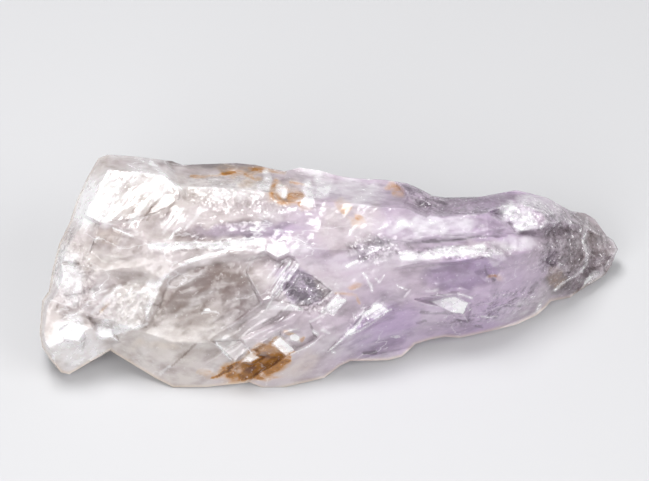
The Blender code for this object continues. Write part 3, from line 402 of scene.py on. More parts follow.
# White frost lines, and painted highlights along the beaded ledge, the bright ledge and the tip's ridge, with
# a few painted glints
FROST_AND_HIGHLIGHT_STROKES = [
    ([(8, 17.2), (8.8, 16.9), (10, 16.4)], 0.14, 0.8), ([(6, 15.9), (6.4, 16.2)], 0.14, 0.8),
    ([(13.9, 16.2), (14.5, 16.8), (15, 17.2)], 0.16, 0.8),
    ([(9.8, 17.8), (11.2, 19.5), (12.6, 21)], 0.4, 0.6), ([(13.2, 16.8), (15.4, 19.4)], 0.25, 0.4),
    ([(15.7, 17.3), (17.2, 19)], 0.2, 0.5), ([(12, 24.2), (13.6, 22.6), (15, 21.4)], 0.35, 0.7),
    ([(12, 15.3), (14.6, 15.3), (16.2, 15.5), (18.5, 15.35), (21, 15.6), (24, 15.8)], 0.45, 1),
    ([(15.2, 13.2), (16.9, 13.9), (18, 14.4), (19.6, 14.85), (21.6, 15), (24.3, 14.8)], 0.18, 0.9),
    ([(22.3, 12.8), (22.9, 14), (24.3, 14.5)], 0.2, 0.4), ([(24.4, 11.8), (25.5, 13.3)], 0.12, 0.6),
    ([(24.9, 10.4), (26.8, 13.7)], 0.14, 0.8), ([(25.2, 10.1), (26.6, 12), (27.5, 13.4)], 0.14, 0.8),
    ([(24.3, 8.5), (25, 10)], 0.14, 0.7), ([(24.6, 8.8), (26.2, 8.7), (28, 8.6)], 0.3, 0.5),
    ([(30.4, 8.4), (31.8, 9.9)], 0.26, 1), ([(31.8, 9.2), (32.7, 9.6)], 0.22, 0.8),
    ([(29, 7.2), (29.8, 7.6), (31, 8.4)], 0.12, 0.5), ([(29.3, 6.2), (29.8, 5.8)], 0.2, 0.8),
    ([(30.3, 6.2), (31, 6)], 0.2, 0.8), ([(32.9, 5.9), (34, 7), (35, 8.3), (36.4, 8.9)], 0.18, 0.8),
    ([(33.2, 5.9), (34.6, 6.5), (36.2, 7.5), (37.6, 8.6)], 0.12, 0.7),
    ([(34.6, 12.4), (35.2, 11.4), (35.7, 10.5)], 0.16, 0.9),
    ([(36, 11.9), (36.4, 11.3), (36.9, 12.2)], 0.12, 0.8), ([(38.3, 11.2), (39.2, 10.5)], 0.1, 0.7),
    ([(44.8, 10.2), (46.2, 9.7)], 0.14, 0.8), ([(41.4, 10.4), (42.5, 10.6)], 0.2, 0.4),
    ([(38.9, 14.2), (41, 14.2), (43, 14.6), (45.2, 14.8), (47.4, 15)], 0.65, 0.9),
    ([(45.2, 14.1), (46, 14.6), (47, 14.9)], 0.15, 0.7),
    ([(58.6, 18.2), (58.3, 16.5), (58.2, 15.6), (58.6, 14.6), (58.5, 13.6), (57.9, 12.6)], 0.24, 0.75),
    ([(57.9, 12.6), (56.9, 11.9), (55.9, 11.3), (55.2, 10.6)], 0.2, 0.65),
    ([(47.2, 7.7), (48.2, 7.6), (48.9, 7.8)], 0.12, 0.7), ([(17.4, 8), (18.3, 8.4), (19.2, 8.1)], 0.12, 0.5),
    ([(18.9, 5), (20.5, 3.2)], 0.14, 0.9), ([(21.6, 5), (22.8, 3.9)], 0.12, 0.7),
    ([(13, 1.7), (13.9, 2.4)], 0.25, 0.6),
    ([(13.6, 12.1), (12.9, 11.6), (12.5, 10.4), (11.7, 9), (11.5, 7.6)], 0.3, 0.7),
    ([(11.5, 7), (10.4, 6.5), (8.9, 6.3), (8, 6)], 0.2, 0.7),
    ([(5.6, 8.1), (7.4, 9.9), (8.6, 11.1)], 0.25, 0.5), ([(8.9, 9.5), (9.9, 10.9)], 0.16, 0.5),
    ([(36.2, 17.1), (37.2, 17.6)], 0.15, 0.7), ([(33, 13.2), (34, 13.6)], 0.25, 0.7),
    ([(35.2, 14.4), (36.2, 15)], 0.16, 0.7),
]
STAIN_BLOTS = [
    ((25.6, 20.9), (1.2, 1.6), 0, 0.35),  # the stained pit near the top
    ((26.4, 20.9), (2.6, 1.7), 0, 0.25), ((26.8, 20.3), (1.4, 0.6), 8, 0.5),
    ((27.5, 20.7), (1, 0.6), 0, 0.4), ((28.5, 19.7), (0.8, 0.6), 0, 0.3),
    ((22.3, 22.2), (1.4, 0.6), 10, 0.25),
    ((21.4, 23.5), (3.4, 0.7), -2, 0.45),  # the top edge
    ((32.2, 19.7), (1.4, 0.7), -35, 0.3), ((33, 19.1), (0.5, 0.6), 0, 0.3),
    ((34.2, 18.2), (0.7, 0.5), -40, 0.4), ((33.7, 17.8), (1.2, 0.5), -30, 0.3),
    ((37.7, 21.6), (0.7, 0.4), -40, 0.35), ((38.3, 21.1), (0.9, 0.5), -40, 0.25),
    ((34, 11.2), (0.9, 0.45), 0, 0.35),
    ((24, 2.5), (3.6, 1.5), 28, 0.95),  # the stained pocket
    ((24.2, 4), (2.9, 1.3), 25, 0.8), ((22, 1.6), (2.8, 0.9), 20, 0.55), ((20.2, 2), (2, 0.9), 15, 0.5),
    ((27.4, 2.5), (3, 1.4), 20, 0.12), ((26, 3.5), (1.6, 0.7), 35, 0.55), ((26.9, 6), (0.8, 0.35), 0, 0.5),
    ((28.3, 5.4), (0.6, 0.35), 0, 0.6), ((24.6, 1.1), (1.8, 0.5), 10, 0.45), ((17.8, 1.6), (1, 0.5), 0, 0.3),
    ((48.4, 12.1), (0.5, 0.4), 0, 0.4), ((49.2, 12.1), (0.8, 0.6), 0, 0.2),
    ((55.2, 12), (1.2, 1.1), 0, 0.18), ((12.5, 4.7), (3, 0.6), 0, 0.12), ((7.6, 16.4), (1.8, 1), 0, 0.1),
]
STAIN_STROKES = [
    ([(22.6, 23.6), (24.6, 23.4), (26.2, 23.2)], 0.35, 0.45), ([(20, 23), (21, 23.1)], 0.2, 0.4),
    ([(16.2, 22.75), (17.2, 22.7), (19.9, 22.9)], 0.2, 0.4), ([(22, 22.9), (22.9, 22.6)], 0.2, 0.4),
    ([(26.8, 22.1), (28, 21.95), (28.8, 21.7)], 0.2, 0.4),
    ([(25.6, 20), (26.6, 19.9), (27.8, 19.8)], 0.3, 0.35),
    ([(31.8, 10.3), (33, 10.2), (33.9, 9.9), (34.3, 9.2)], 0.25, 0.35),
    ([(20.2, 2.3), (21.8, 2.9), (23, 3.2)], 0.25, 0.5), ([(18.4, 1.2), (19.6, 1.7), (20.4, 2.1)], 0.14, 0.7),
    ([(22.6, 1.2), (24.8, 1.8), (26.8, 3)], 0.14, 0.5), ([(23.3, 3.3), (26.8, 3.4)], 0.16, 0.5),
    ([(21.2, 2.2), (23, 3.2), (24.8, 3.6), (27.2, 3.9)], 0.14, 0.8), ([(6.6, 8.3), (7.4, 9.1)], 0.2, 0.25),
]
FRONT_PAINT = {
    "lilac": (LILAC_BLOTS, []),
    "shade": (SHADE_BLOTS, SHADE_STROKES),
    "clear": (CLEAR_BLOTS, []),
    "frost_and_highlight": (FROST_AND_HIGHLIGHT_BLOTS, FROST_AND_HIGHLIGHT_STROKES),
    "stain": (STAIN_BLOTS, STAIN_STROKES),
}
BACK_PAINT = {
    "lilac": ([((30, 14), (5, 6), 20, 0.25)], []),
    "shade": ([
        # Painted shade along the top, where the key light falls most squarely
        ((30, 20.5), (28, 4.5), -3, 0.45), ((20, 12), (7, 3), 10, 0.35), ((36, 14), (6, 2.5), -10, 0.35),
        ((8, 16), (4, 4), 0, 0.25), ((52, 14), (5, 3), 0, 0.35), ((58, 14.5), (3.5, 3.5), 0, 0.35),
    ], [([(26, 16), (31, 13.5), (36, 12.6)], 0.2, 0.5)]),
    "clear": ([((57, 14.5), (6, 5), 0, 0.7), ((40, 12), (5, 2.5), 10, 0.4)], []),
    "frost_and_highlight": ([
        ((12, 19), (4.5, 2.5), 10, 0.5), ((27, 9), (5, 2), -15, 0.4), ((44, 17), (4.5, 1.6), 5, 0.4),
        ((5, 9), (3.5, 4), 0, 0.4), ((57, 15.5), (2.5, 1.6), 0, 0.4),
    ], [([(14, 8), (19, 9.2), (25, 9)], 0.3, 0.5), ([(39, 9), (45, 11)], 0.25, 0.5)]),
    "stain": ([
        ((24, 2.6), (3.5, 1.6), 20, 0.45), ((22, 22.6), (3.4, 1), 0, 0.35),
        ((33, 11.6), (1.8, 0.5), -20, 0.35),
    ], [([(16, 14.2), (18, 13.4), (19.4, 13.6)], 0.16, 0.4)]),
}
# Slanting strokes side by side on the block: (start, pitch, how many, longest, half width, strength)
HATCHING = {
    "shade": [((7.2, 17.4), 0.62, 12, 2.6, 0.16, 0.6), ((4.4, 19.6), 0.9, 8, 3.2, 0.14, 0.35)],
    "frost_and_highlight": [((6.6, 18.2), 0.7, 11, 3.4, 0.16, -0.7)],
}
HATCHING_DEG = 54
BACK_SPARKLE = (4, 0.5)  # pitch, strength
FACING = (0.5, 2)  # how much of the front's paint a level edge takes, and how fast that grows to the front
BLOT_FULLNESS = 1.5
BLOT_WANDER = (0.9, 0.45)  # pitch, reach
STROKE_WANDER = (0.7, 0.12)
# Streaks of frost and shade: (s where strongest, reach along s, direction in degrees)
STREAK_FIELDS = [(4, 12, 52), (20, 12, 30), (36, 14, 14), (54, 16, 4)]
STREAK_PITCHES = [(1.3, 0.22), (0.5, 0.16)]  # pitch across, strength
STREAK_LENGTH = 5  # as a multiple of the pitch across
LEAST_WEIGHT = 0.5  # the fields' total weight is taken to be no less than this
GLOW_WIDTH = 0.35  # how far in from the outline the painted warm rim light reaches
GLOW_CORNER = (8, 14)  # it lies before this s or below this t, and fades in over GLOW_FADE
GLOW_FADE = 4
BEND_ROUNDS = (1, 30)  # smoothing of the fine and of the broad bends of the surface
EDGE_FROST_AND_HIGHLIGHT = (0.33, 0.3, 0.7)  # frost and painted highlight on sharp edges: the bend that has none, gain, most
EDGE_PATCHES = (0.8, 1.2)  # where it is weak or lacking: pitch, strength
HOLLOW_SHADE = [(0.08, 0.15), (2, 0.2)]  # in fine and in broad hollows: gain, most


def hashed(cells, salt):
    """A repeatable number from 0 to 1 for each row of whole numbers."""
    h = np.full(len(cells), salt * 2654435761, np.int64)
    for axis, prime in enumerate((73856093, 19349663, 83492791)[:cells.shape[1]]):
        h ^= cells[:, axis].astype(np.int64) * prime
    h &= 0xFFFFFFFF
    for shift, factor in ((16, 0x7FEB352D), (15, 0x846CA68B)):
        h = ((h ^ (h >> shift)) * factor) & 0xFFFFFFFF
    return (h ^ (h >> 16)) / 0xFFFFFFFF


def swell(p, pitch, salt):
    """Smooth random heights from -1 to 1."""
    home = np.floor(p / pitch)
    share = p / pitch - home
    share = share * share * (3 - 2 * share)
    total = np.zeros(len(p))
    for ds in (0, 1):
        for dt in (0, 1):
            weight = np.abs(1 - ds - share[:, 0]) * np.abs(1 - dt - share[:, 1])
            total += weight * hashed(home + (ds, dt), salt)
    return total * 2 - 1


def wandered(p, wander, salt):
    """Points moved about a little, so that what is drawn on them wanders."""
    pitch, reach = wander
    return p + reach * np.column_stack([swell(p, pitch, salt), swell(p, pitch, salt + 1)])


def creased(p, crease, salt):
    """Random heights on a grid of triangles, flat between its corners."""
    pitch, height, way_deg = crease
    c, s = math.cos(math.radians(way_deg)), math.sin(math.radians(way_deg))
    p = wandered(p, (2 * pitch, CREASE_WANDER * pitch), salt)
    along = (p[:, 0] * c + p[:, 1] * s) * CREASE_STRETCH
    across = (p[:, 1] * c - p[:, 0] * s) / math.sqrt(3)
    skewed = np.column_stack([along - across, 2 * across]) / pitch
    home = np.floor(skewed)
    u, v = (skewed - home).T
    far = u + v > 1
    corner = np.where(far, hashed(home + 1, salt), hashed(home, salt))
    right, left = hashed(home + (1, 0), salt), hashed(home + (0, 1), salt)
    mixed = np.where(far, (1 - v) * right + (1 - u) * left, u * right + v * left) + np.abs(1 - u - v) * corner
    return height * (mixed * 2 - 1)


def to_line(p, line):
    """Signed distance from the line, positive on its left as drawn, and the length in from its nearer end."""
    line = np.array(line, float)
    nearest = np.full(len(p), np.inf)
    side = np.ones(len(p))
    run = np.zeros(len(p))
    start = 0.0
    for a, b in zip(line[:-1], line[1:]):
        span = b - a
        length = math.hypot(*span)
        share = np.clip(((p - a) @ span) / length**2, 0, 1)
        offset = p - a - share[:, None] * span
        distance = np.hypot(*offset.T)
        cross = span[0] * (p[:, 1] - a[1]) - span[1] * (p[:, 0] - a[0])
        closer = distance < nearest
        nearest = np.where(closer, distance, nearest)
        side = np.where(closer, np.sign(cross), side)
        run = np.where(closer, start + share * length, run)
        start += length
    return nearest * side, np.minimum(run, start - run)


def turned(p, at, size, turn_deg):
    """Coordinates in a patch, 1 at its half sizes, with the patch turned on the face."""
    c, s = math.cos(math.radians(turn_deg)), math.sin(math.radians(turn_deg))
    q = p - np.array(at)
    return np.column_stack([q[:, 0] * c + q[:, 1] * s, q[:, 1] * c - q[:, 0] * s]) / np.array(size)


def blot(p, at, size, turn_deg, fullness):
    """1 over the middle of an ellipse, the more of it the greater its fullness, and 0 from its edge."""
    return np.clip(fullness * (1 - (turned(p, at, size, turn_deg) ** 2).sum(1)), 0, 1)


def resampled(line, step):
    """The line's points with more between them, about a step apart."""
    line = np.array(line, float)
    points = []
    for a, b in zip(line[:-1], line[1:]):
        cuts = max(1, round(math.hypot(*(b - a)) / step))
        points.extend(a + (b - a) * k / cuts for k in range(cuts))
    return np.array(points + [line[-1]])


def natural(line):
    """A drawn line with its small bends."""
    return wandered(resampled(line, LINE_WANDER[0] / 2), LINE_WANDER, SEEDS["lines"])


def close_to(p, line, reach):
    """Which points lie in the line's box, widened by reach."""
    line = np.array(line)
    return ((p > line.min(0) - reach) & (p < line.max(0) + reach)).all(1)


def add_ledge(out, p, line, drop, bevel, reach):
    near = close_to(p, line, bevel + reach)
    distance, inwards = to_line(p[near], natural(line))
    below = np.clip(-distance, 0, None)
    fall = np.clip(below / bevel, 0, 1) * np.clip(1 - (below - bevel) / reach, 0, 1)
    out[near] -= drop * fall * np.clip(inwards / LINE_END, 0, 1)
    return out


def add_groove(out, p, line, depth, half_width):
    near = close_to(p, line, half_width)
    distance, inwards = to_line(p[near], line)
    out[near] -= depth * np.clip(1 - np.abs(distance) / half_width, 0, 1) * np.clip(inwards / LINE_END, 0, 1)
    return out


def add_scoop(out, p, at, size, depth, turn_deg):
    return out - depth * blot(p, at, size, turn_deg, 1)


def beyond(p, corners):
    """Distance outside a convex polygon whose corners run clockwise, and less than zero inside."""
    corners = np.array(corners)
    furthest = np.full(len(p), -np.inf)
    for a, b in zip(corners, np.roll(corners, -1, 0)):
        outwards = np.array((a[1] - b[1], b[0] - a[0])) / math.hypot(*(b - a))
        furthest = np.maximum(furthest, (p - a) @ outwards)
    return furthest


def add_facet(out, p, corners, height, slope):
    """A flat polygon, with walls up or down to what surrounds it, steeper the further out."""
    outside = beyond(p, corners)
    level = np.median(out[outside < 0]) + height + (p - np.mean(corners, 0)) @ np.array(slope)
    wall = WALL_SLOPE * np.clip(outside, 0, None) * (1 + np.abs(outside))
    return np.clip(out, level - wall, level + wall)


def add_stair(out, p, at, size, pitch, rise, down_deg):
    inside = blot(p, at, size, down_deg, STAIR_EDGE)
    down = np.array((math.cos(math.radians(down_deg)), math.sin(math.radians(down_deg))))
    steps = (p - np.array(at)) @ down / pitch
    return out + inside * rise * np.interp(steps - np.floor(steps), (0, STAIR_CREST, 1), (0, 1, 0))


def rows_at(stations, s):
    """The stations' rows of points, carried over to each s: their t, and their out."""
    places = sorted(stations)
    rows = np.array([stations[place] for place in places], float)
    return [[np.interp(s, places, rows[:, k, axis]) for k in range(rows.shape[1])] for axis in (0, 1)]


def form(stations, p):
    """The broad form between the stations' rows of points."""
    s, t = p.T
    ts, outs = rows_at(stations, s)
    out = outs[0].copy()
    for k in range(len(ts) - 1):
        share = (t - ts[k]) / np.maximum(ts[k + 1] - ts[k], TINY)
        out = np.where(share >= 0, outs[k] + np.clip(share, 0, 1) * (outs[k + 1] - outs[k]), out)
    return out


def relief(p, stations, creases, ledges, scoops, facets, salt):
    """One side of the crystal: its broad form and what stands on it or is cut into it."""
    out = form(stations, wandered(p, FORM_WANDER, salt))
    out = out + SWELL[1] * swell(p, SWELL[0], salt + 2)
    for number, crease in enumerate(creases):
        out = out + creased(p, crease, salt + 10 + 2 * number)
    for ledge in ledges:
        out = add_ledge(out, p, *ledge)
    scoop_places = wandered(p, SCOOP_WANDER, salt + 5)
    for scoop in scoops:
        out = add_scoop(out, scoop_places, *scoop)
    for facet in facets:
        out = add_facet(out, p, *facet)
    return out


def rim_height(p):
    """Where the outline lies between front and back: the front rows' feet and tops give it."""
    s, t = p.T
    ts, outs = rows_at(FRONT_STATIONS, s)
    share = np.clip((t - ts[0]) / np.maximum(ts[-1] - ts[0], TINY), 0, 1)
    return outs[0] + share * (outs[-1] - outs[0])


def climb(p, edge_distance, rim, salt):
    """How high a side may stand this far in from the outline."""
    blunt = 1 + (BASE_BLUNTNESS - 1) * np.clip((BASE_END - p[:, 0]) / BASE_END, 0, 1)
    uneven = 1 + creased(p, RIM_CREASE, salt) * np.clip(1 - edge_distance / RIM_REACH, 0, 1)
    return np.interp(edge_distance * blunt * uneven, *np.array(rim).T)


def drawn_lines():
    """The lines that the mesh's edges follow inside the outline, which keeps ledges and facets crisp."""
    ledges = [natural(line) for line, _, _, _ in FRONT_LEDGES + BACK_LEDGES]
    facets = [corners + corners[:1] for corners, _, _ in FRONT_FACETS + BACK_FACETS]
    return ledges + facets


def within(p, loop):
    inside = np.zeros(len(p), bool)
    for a, b in zip(loop[:-1], loop[1:]):
        crosses = (a[1] > p[:, 1]) != (b[1] > p[:, 1])
        rise = b[1] - a[1] if b[1] != a[1] else 1.0
        inside ^= crosses & (p[:, 0] < a[0] + (p[:, 1] - a[1]) * (b[0] - a[0]) / rise)
    return inside


def layout():
    """Triangles over the outline: its own edge, the drawn lines, and a staggered grid between them."""
    loop = np.array(OUTLINE + OUTLINE[:1], float)
    edge = resampled(loop, LAYOUT_PITCH)[:-1]
    along = np.roll(edge, -1, 0) - np.roll(edge, 1, 0)
    inwards = np.column_stack([along[:, 1], -along[:, 0]]) / np.hypot(*along.T)[:, None]
    points = [edge, *(edge + inwards * inset for inset in INSETS)]
    edges = [(k, (k + 1) % len(edge)) for k in range(len(edge))]
    low, high = loop.min(0), loop.max(0)
    rows = []
    for j, t in enumerate(np.arange(low[1], high[1], LAYOUT_PITCH * math.sqrt(3) / 2)):
        row_s = np.arange(low[0] + 0.5 * LAYOUT_PITCH * (j % 2), high[0], LAYOUT_PITCH)
        rows.append(np.column_stack([row_s, np.full(len(row_s), t)]))
    grid = np.concatenate(rows)
    clear = within(grid, loop) & (np.abs(to_line(grid, loop)[0]) > INSETS[-1] + CLEARANCE)
    for line in drawn_lines():
        near = np.flatnonzero(clear & close_to(grid, line, CLEARANCE))
        clear[near] = np.abs(to_line(grid[near], line)[0]) > CLEARANCE
        stops = resampled(line, LAYOUT_PITCH)
        usable = within(stops, loop) & (np.abs(to_line(stops, loop)[0]) > INSETS[-1] + CLEARANCE)
        number = sum(map(len, points)) + np.cumsum(usable) - 1
        edges += [(number[k], number[k + 1]) for k in np.flatnonzero(usable[:-1] & usable[1:])]
        points.append(stops[usable])
    points.append(grid[clear])
    made = delaunay_2d_cdt([Vector(q) for q in np.concatenate(points)], edges, [], 1, TINY)
    p = np.array([tuple(q) for q in made[0]])
    return p, made[2], np.abs(to_line(p, loop)[0])


def true_places(p, out):
    """Layout points at their heights, in the finished frame, in millimetres."""
    right, up = (p - np.array(SIGHT_POINT)).T * (1 - out / SIGHT_DISTANCE)
    return np.outer(right, (1, 0, 0)) + np.outer(up, UP) + np.outer(out, AWAY) + np.array(FACE_PLACE)


def two_sides(p, edge_distance):
    """The front and back heights at each layout point."""
    front = relief(p, FRONT_STATIONS, FRONT_CREASES, FRONT_LEDGES, FRONT_SCOOPS, FRONT_FACETS, SEEDS["front"])
    for groove in GROOVES:
        front = add_groove(front, p, *groove)
    for stair in STAIRS:
        front = add_stair(front, p, *stair)
    back = relief(p, BACK_STATIONS, BACK_CREASES, BACK_LEDGES, BACK_SCOOPS, BACK_FACETS, SEEDS["back"])
    resting = form(BACK_STATIONS, p) > p[:, 1]
    back = np.where(resting, np.maximum(back, p[:, 1] + REST_DEPTH), back)
    rim = rim_height(p)
    front = np.minimum(front, rim + climb(p, edge_distance, FRONT_RIM, SEEDS["front rim"]))
    back = -np.minimum(back, climb(p, edge_distance, BACK_RIM, SEEDS["back rim"]) - rim)
    return front, np.minimum(back, front - LEAST_THICKNESS * np.clip(edge_distance, 0, 1))


def stroke(p, line, half_width):
    """1 along the middle half of a line's width and 0 from its edge."""
    amount = np.zeros(len(p))
    near = close_to(p, line, half_width)
    amount[near] = np.clip(2 - 2 * np.abs(to_line(p[near], line)[0]) / half_width, 0, 1)
    return amount


def hatched(start, pitch, count, length, half_width, strength):
    """Slanting strokes side by side from the start, of uneven length and strength."""
    way = math.radians(HATCHING_DEG)
    strokes = []
    for number in range(count):
        uneven, fade = hashed(np.array([(number, 1), (number, 2)]), SEEDS["strokes"])
        foot = (start[0] + pitch * (number + uneven / 2), start[1] + fade)
        head = (foot[0] + length * uneven * math.cos(way), foot[1] + length * uneven * math.sin(way))
        strokes.append(([foot, head], half_width, strength * fade))
    return strokes


def painted(blot_places, stroke_places, blots, strokes):
    total = np.zeros(len(blot_places))
    for at, size, turn_deg, strength in blots:
        total += strength * blot(blot_places, at, size, turn_deg, BLOT_FULLNESS)
    for line, half_width, strength in strokes:
        total += strength * stroke(stroke_places, line, half_width)
    return total


def streaks(p, salt):
    """Random streaks to and from zero, that turn from steep at the broken base to level at the tip."""
    total, share = np.zeros(len(p)), np.zeros(len(p))
    for number, (place, reach, way_deg) in enumerate(STREAK_FIELDS):
        weight = np.clip(1 - np.abs(p[:, 0] - place) / reach, 0, 1)
        cells = turned(p, (0, 0), (STREAK_LENGTH, 1), way_deg)
        for pitch, strength in STREAK_PITCHES:
            total += weight * strength * swell(cells, pitch, salt + 10 * number)
        share += weight
    return total / np.maximum(share, LEAST_WEIGHT)


def fine_relief(p):
    """What the finer relief adds to the front."""
    added = np.zeros(len(p))
    for line in EDGES:
        added = add_ledge(added, p, line, *EDGE)
    for number, (at, size, turn_deg, pitch, height) in enumerate(ROUGH_PATCHES):
        inside = blot(p, at, size, turn_deg, PATCH_FULLNESS)
        added += inside * creased(p, (pitch, height, turn_deg), SEEDS["patches"] + 10 * number)
    for number, (at, size, way_deg, pitch, rise) in enumerate(GROWTH_LINES):
        inside = blot(p, at, size, way_deg, PATCH_FULLNESS)
        sway = LINE_SWAY[1] * swell(p, LINE_SWAY[0], SEEDS["growth"] + number)
        place = turned(p, (0, 0), (1, 1), way_deg)[:, 1] / pitch + sway
        line = np.floor(place)
        height = hashed(np.column_stack([line, line]), SEEDS["growth"] + number)
        added += inside * rise * height * np.interp(place - line, (0, LINE_CREST, 1), (0, 1, 0))
    smooth = sum(share * blot(p, *place, PATCH_FULLNESS) for *place, share in SMOOTH_BLOTS)
    for number, crease in enumerate(FINE_CREASES):
        added += creased(p, crease, SEEDS["fine front"] + number) * (1 - np.clip(smooth, 0, MOST_SMOOTH))
    return added


def vertex_numbers(sequence, name):
    """A row of three numbers for each vertex."""
    numbers = np.zeros(len(sequence) * 3)
    sequence.foreach_get(name, numbers)
    return numbers.reshape(-1, 3)


def convexity(mesh, places, normals, rounds):
    """How far each vertex stands out from its neighbours, over the square of the pitch, and then smoothed."""
    ends = np.zeros(len(mesh.edges) * 2, np.int64)
    mesh.edges.foreach_get("vertices", ends)
    a, b = ends.reshape(-1, 2).T
    count = len(places)
    degree = np.bincount(a, minlength=count) + np.bincount(b, minlength=count)

    def mean_of_neighbours(values):
        total = np.bincount(a, values[b], count) + np.bincount(b, values[a], count)
        return total / np.maximum(degree, 1)

    middle = np.column_stack([mean_of_neighbours(places[:, k]) for k in range(3)])
    bend = ((places - middle) * normals).sum(1) / LAYOUT_PITCH**2
    for _ in range(rounds):
        bend = (bend + mean_of_neighbours(bend)) / 2
    return bend


def paint(mesh):
    """How lilac, shaded, clear, frosted with painted highlights, stained, sparkling and lit by a painted warm
    rim light each vertex is, from 0 to 1.
    """
    places = vertex_numbers(mesh.vertices, "co") / MM - np.array(FACE_PLACE)
    normals = vertex_numbers(mesh.vertex_normals, "vector")
    flat = np.column_stack([places[:, 0], places @ UP])
    p = flat / (1 - places @ AWAY / SIGHT_DISTANCE)[:, None] + np.array(SIGHT_POINT)
    facing = np.clip(FACING[0] + FACING[1] * normals @ AWAY, 0, 1)
    blot_places = wandered(p, BLOT_WANDER, SEEDS["blots"])
    stroke_places = wandered(p, STROKE_WANDER, SEEDS["strokes"])
    amounts = {}
    for name, (front_blots, front_strokes) in FRONT_PAINT.items():
        hatching = [made for row in HATCHING.get(name, []) for made in hatched(*row)]
        front = painted(blot_places, stroke_places, front_blots, front_strokes + hatching)
        back = painted(blot_places, stroke_places, *BACK_PAINT[name])
        amounts[name] = facing * front + (1 - facing) * back
    # Painted highlights on the facets that shine, with crisp edges
    for corners, _, slope in FRONT_FACETS:
        if slope in (SHINE, LOW_SHINE):
            amounts["frost_and_highlight"] += facing * FACET_HIGHLIGHT * np.clip(0.5 - beyond(p, corners) / LAYOUT_PITCH, 0, 1)
    bend, broad_bend = (convexity(mesh, places, normals, rounds) for rounds in BEND_ROUNDS)
    # Frost and painted highlights along sharp edges, in patches, and random streaks of frost
    pitch, strength = EDGE_PATCHES
    patches = np.clip(0.5 + strength * swell(p, pitch, SEEDS["edges"]), 0, 1)
    slight, gain, most = EDGE_FROST_AND_HIGHLIGHT
    amounts["frost_and_highlight"] += patches * np.clip((bend - slight) * gain, 0, most) + streaks(p, SEEDS["frost_and_highlight"])
    for hollow, (gain, most) in zip((-bend, -broad_bend), HOLLOW_SHADE):
        amounts["shade"] += np.clip(hollow * gain, 0, most)
    amounts["shade"] += streaks(p, SEEDS["shade"])
    amounts["lilac"] += np.interp(blot_places[:, 0], *np.array(LILAC_ALONG).T)
    rough = sum(min(height / FULL_SPARKLE, 1) * blot(p, *place, PATCH_FULLNESS)
                for *place, _, height in ROUGH_PATCHES)
    pitch, strength = BACK_SPARKLE
    behind = strength * (0.5 + swell(p, pitch, SEEDS["edges"]))
    amounts["sparkle"] = facing * rough + (1 - facing) * behind
    # A painted warm rim light just inside the outline, at the base end and along the lower side
    outline = np.array(OUTLINE + OUTLINE[:1], float)
    lower = np.clip((np.array(GLOW_CORNER) - p).max(1) / GLOW_FADE, 0, 1)
    amounts["painted_rim_light"] = facing * lower * np.clip(1 - np.abs(to_line(p, outline)[0]) / GLOW_WIDTH, 0, 1)
    for name, amount in amounts.items():
        layer = mesh.attributes.new(name, "FLOAT", "POINT")
        layer.data.foreach_set("value", np.clip(amount, 0, 1).astype(np.float32))


def stone_mesh():
    p, triangles, edge_distance = layout()
    on_edge = edge_distance < ON_OUTLINE
    front, back = two_sides(p, edge_distance)
    fading = np.clip(edge_distance / FINE_REACH, 0, 1)
    front = front + fine_relief(p) * fading
    for number, crease in enumerate(BACK_FINE_CREASES):
        back = back + creased(p, crease, SEEDS["fine back"] + number) * fading
    bm = bmesh.new()
    fronts = [bm.verts.new(q * MM) for q in true_places(p, front)]
    backs = [front_vert if shared else bm.verts.new(q * MM)
             for front_vert, shared, q in zip(fronts, on_edge, true_places(p, back))]
    for a, b, c in triangles:
        bm.faces.new((fronts[a], fronts[b], fronts[c]))
        bm.faces.new((backs[c], backs[b], backs[a]))
    bmesh.ops.recalc_face_normals(bm, faces=bm.faces)
    cut_flat_underneath(bm)
    mesh = bpy.data.meshes.new(NAME)
    bm.to_mesh(mesh)
    bm.free()
    return mesh


def cut_flat_underneath(bm):
    """The facet that the crystal rests on."""
    everything = bm.verts[:] + bm.edges[:] + bm.faces[:]
    ground = {"plane_co": (0, 0, 0), "plane_no": (0, 0, -1)}
    cut = bmesh.ops.bisect_plane(bm, geom=everything, clear_outer=True, **ground)
    edges = [e for e in cut["geom_cut"] if isinstance(e, bmesh.types.BMEdge)]
    made = bmesh.ops.holes_fill(bm, edges=edges)
    bmesh.ops.triangulate(bm, faces=made["faces"])
    bmesh.ops.recalc_face_normals(bm, faces=bm.faces)


def colour(r, g, b):
    """sRGB from 0 to 255, as the shader takes it."""
    return tuple(((c / 255 + 0.055) / 1.055) ** 2.4 for c in (r, g, b)) + (1.0,)


MILK = colour(219, 211, 207)
LILAC = colour(198, 176, 208)
# The greys of smoky stretches and of painted shade, cooler where the stone is lilac
SMOKE_AND_SHADE = colour(114, 103, 114)
WARM_SMOKE_AND_SHADE = colour(128, 109, 101)
WHITE = colour(252, 251, 253)
# The colour of the painted warm rim light
RIM_LIGHT_CREAM = colour(238, 218, 196)
# Iron stains from faint to full: (strength, colour)
STAINS = [(0, colour(218, 202, 176)), (0.3, colour(196, 150, 90)), (0.6, colour(166, 110, 22)),
          (1, colour(104, 58, 2))]
# Cloudiness of several sizes, drawn out along the stone and leaning with it: (scale per metre, detail,
# share of the scale along the stone, lean in radians)
CLOUDS = (110, 5, 0.6, -0.4)
VEILS = (420, 8, 0.45, -0.5)
VEIL_CURLS = 0.6
MOTTLE = (1300, 4, 0.6, -0.5)
CRACKS = (260, 6, 0.4, -0.6)
# The same in all directions: (scale per metre, detail)
FLECKS = (1300, 6)
FLECK_ROUGHNESS = 0.75
GLINTS = (2700, 2)
ETCHING = (4200, 3)
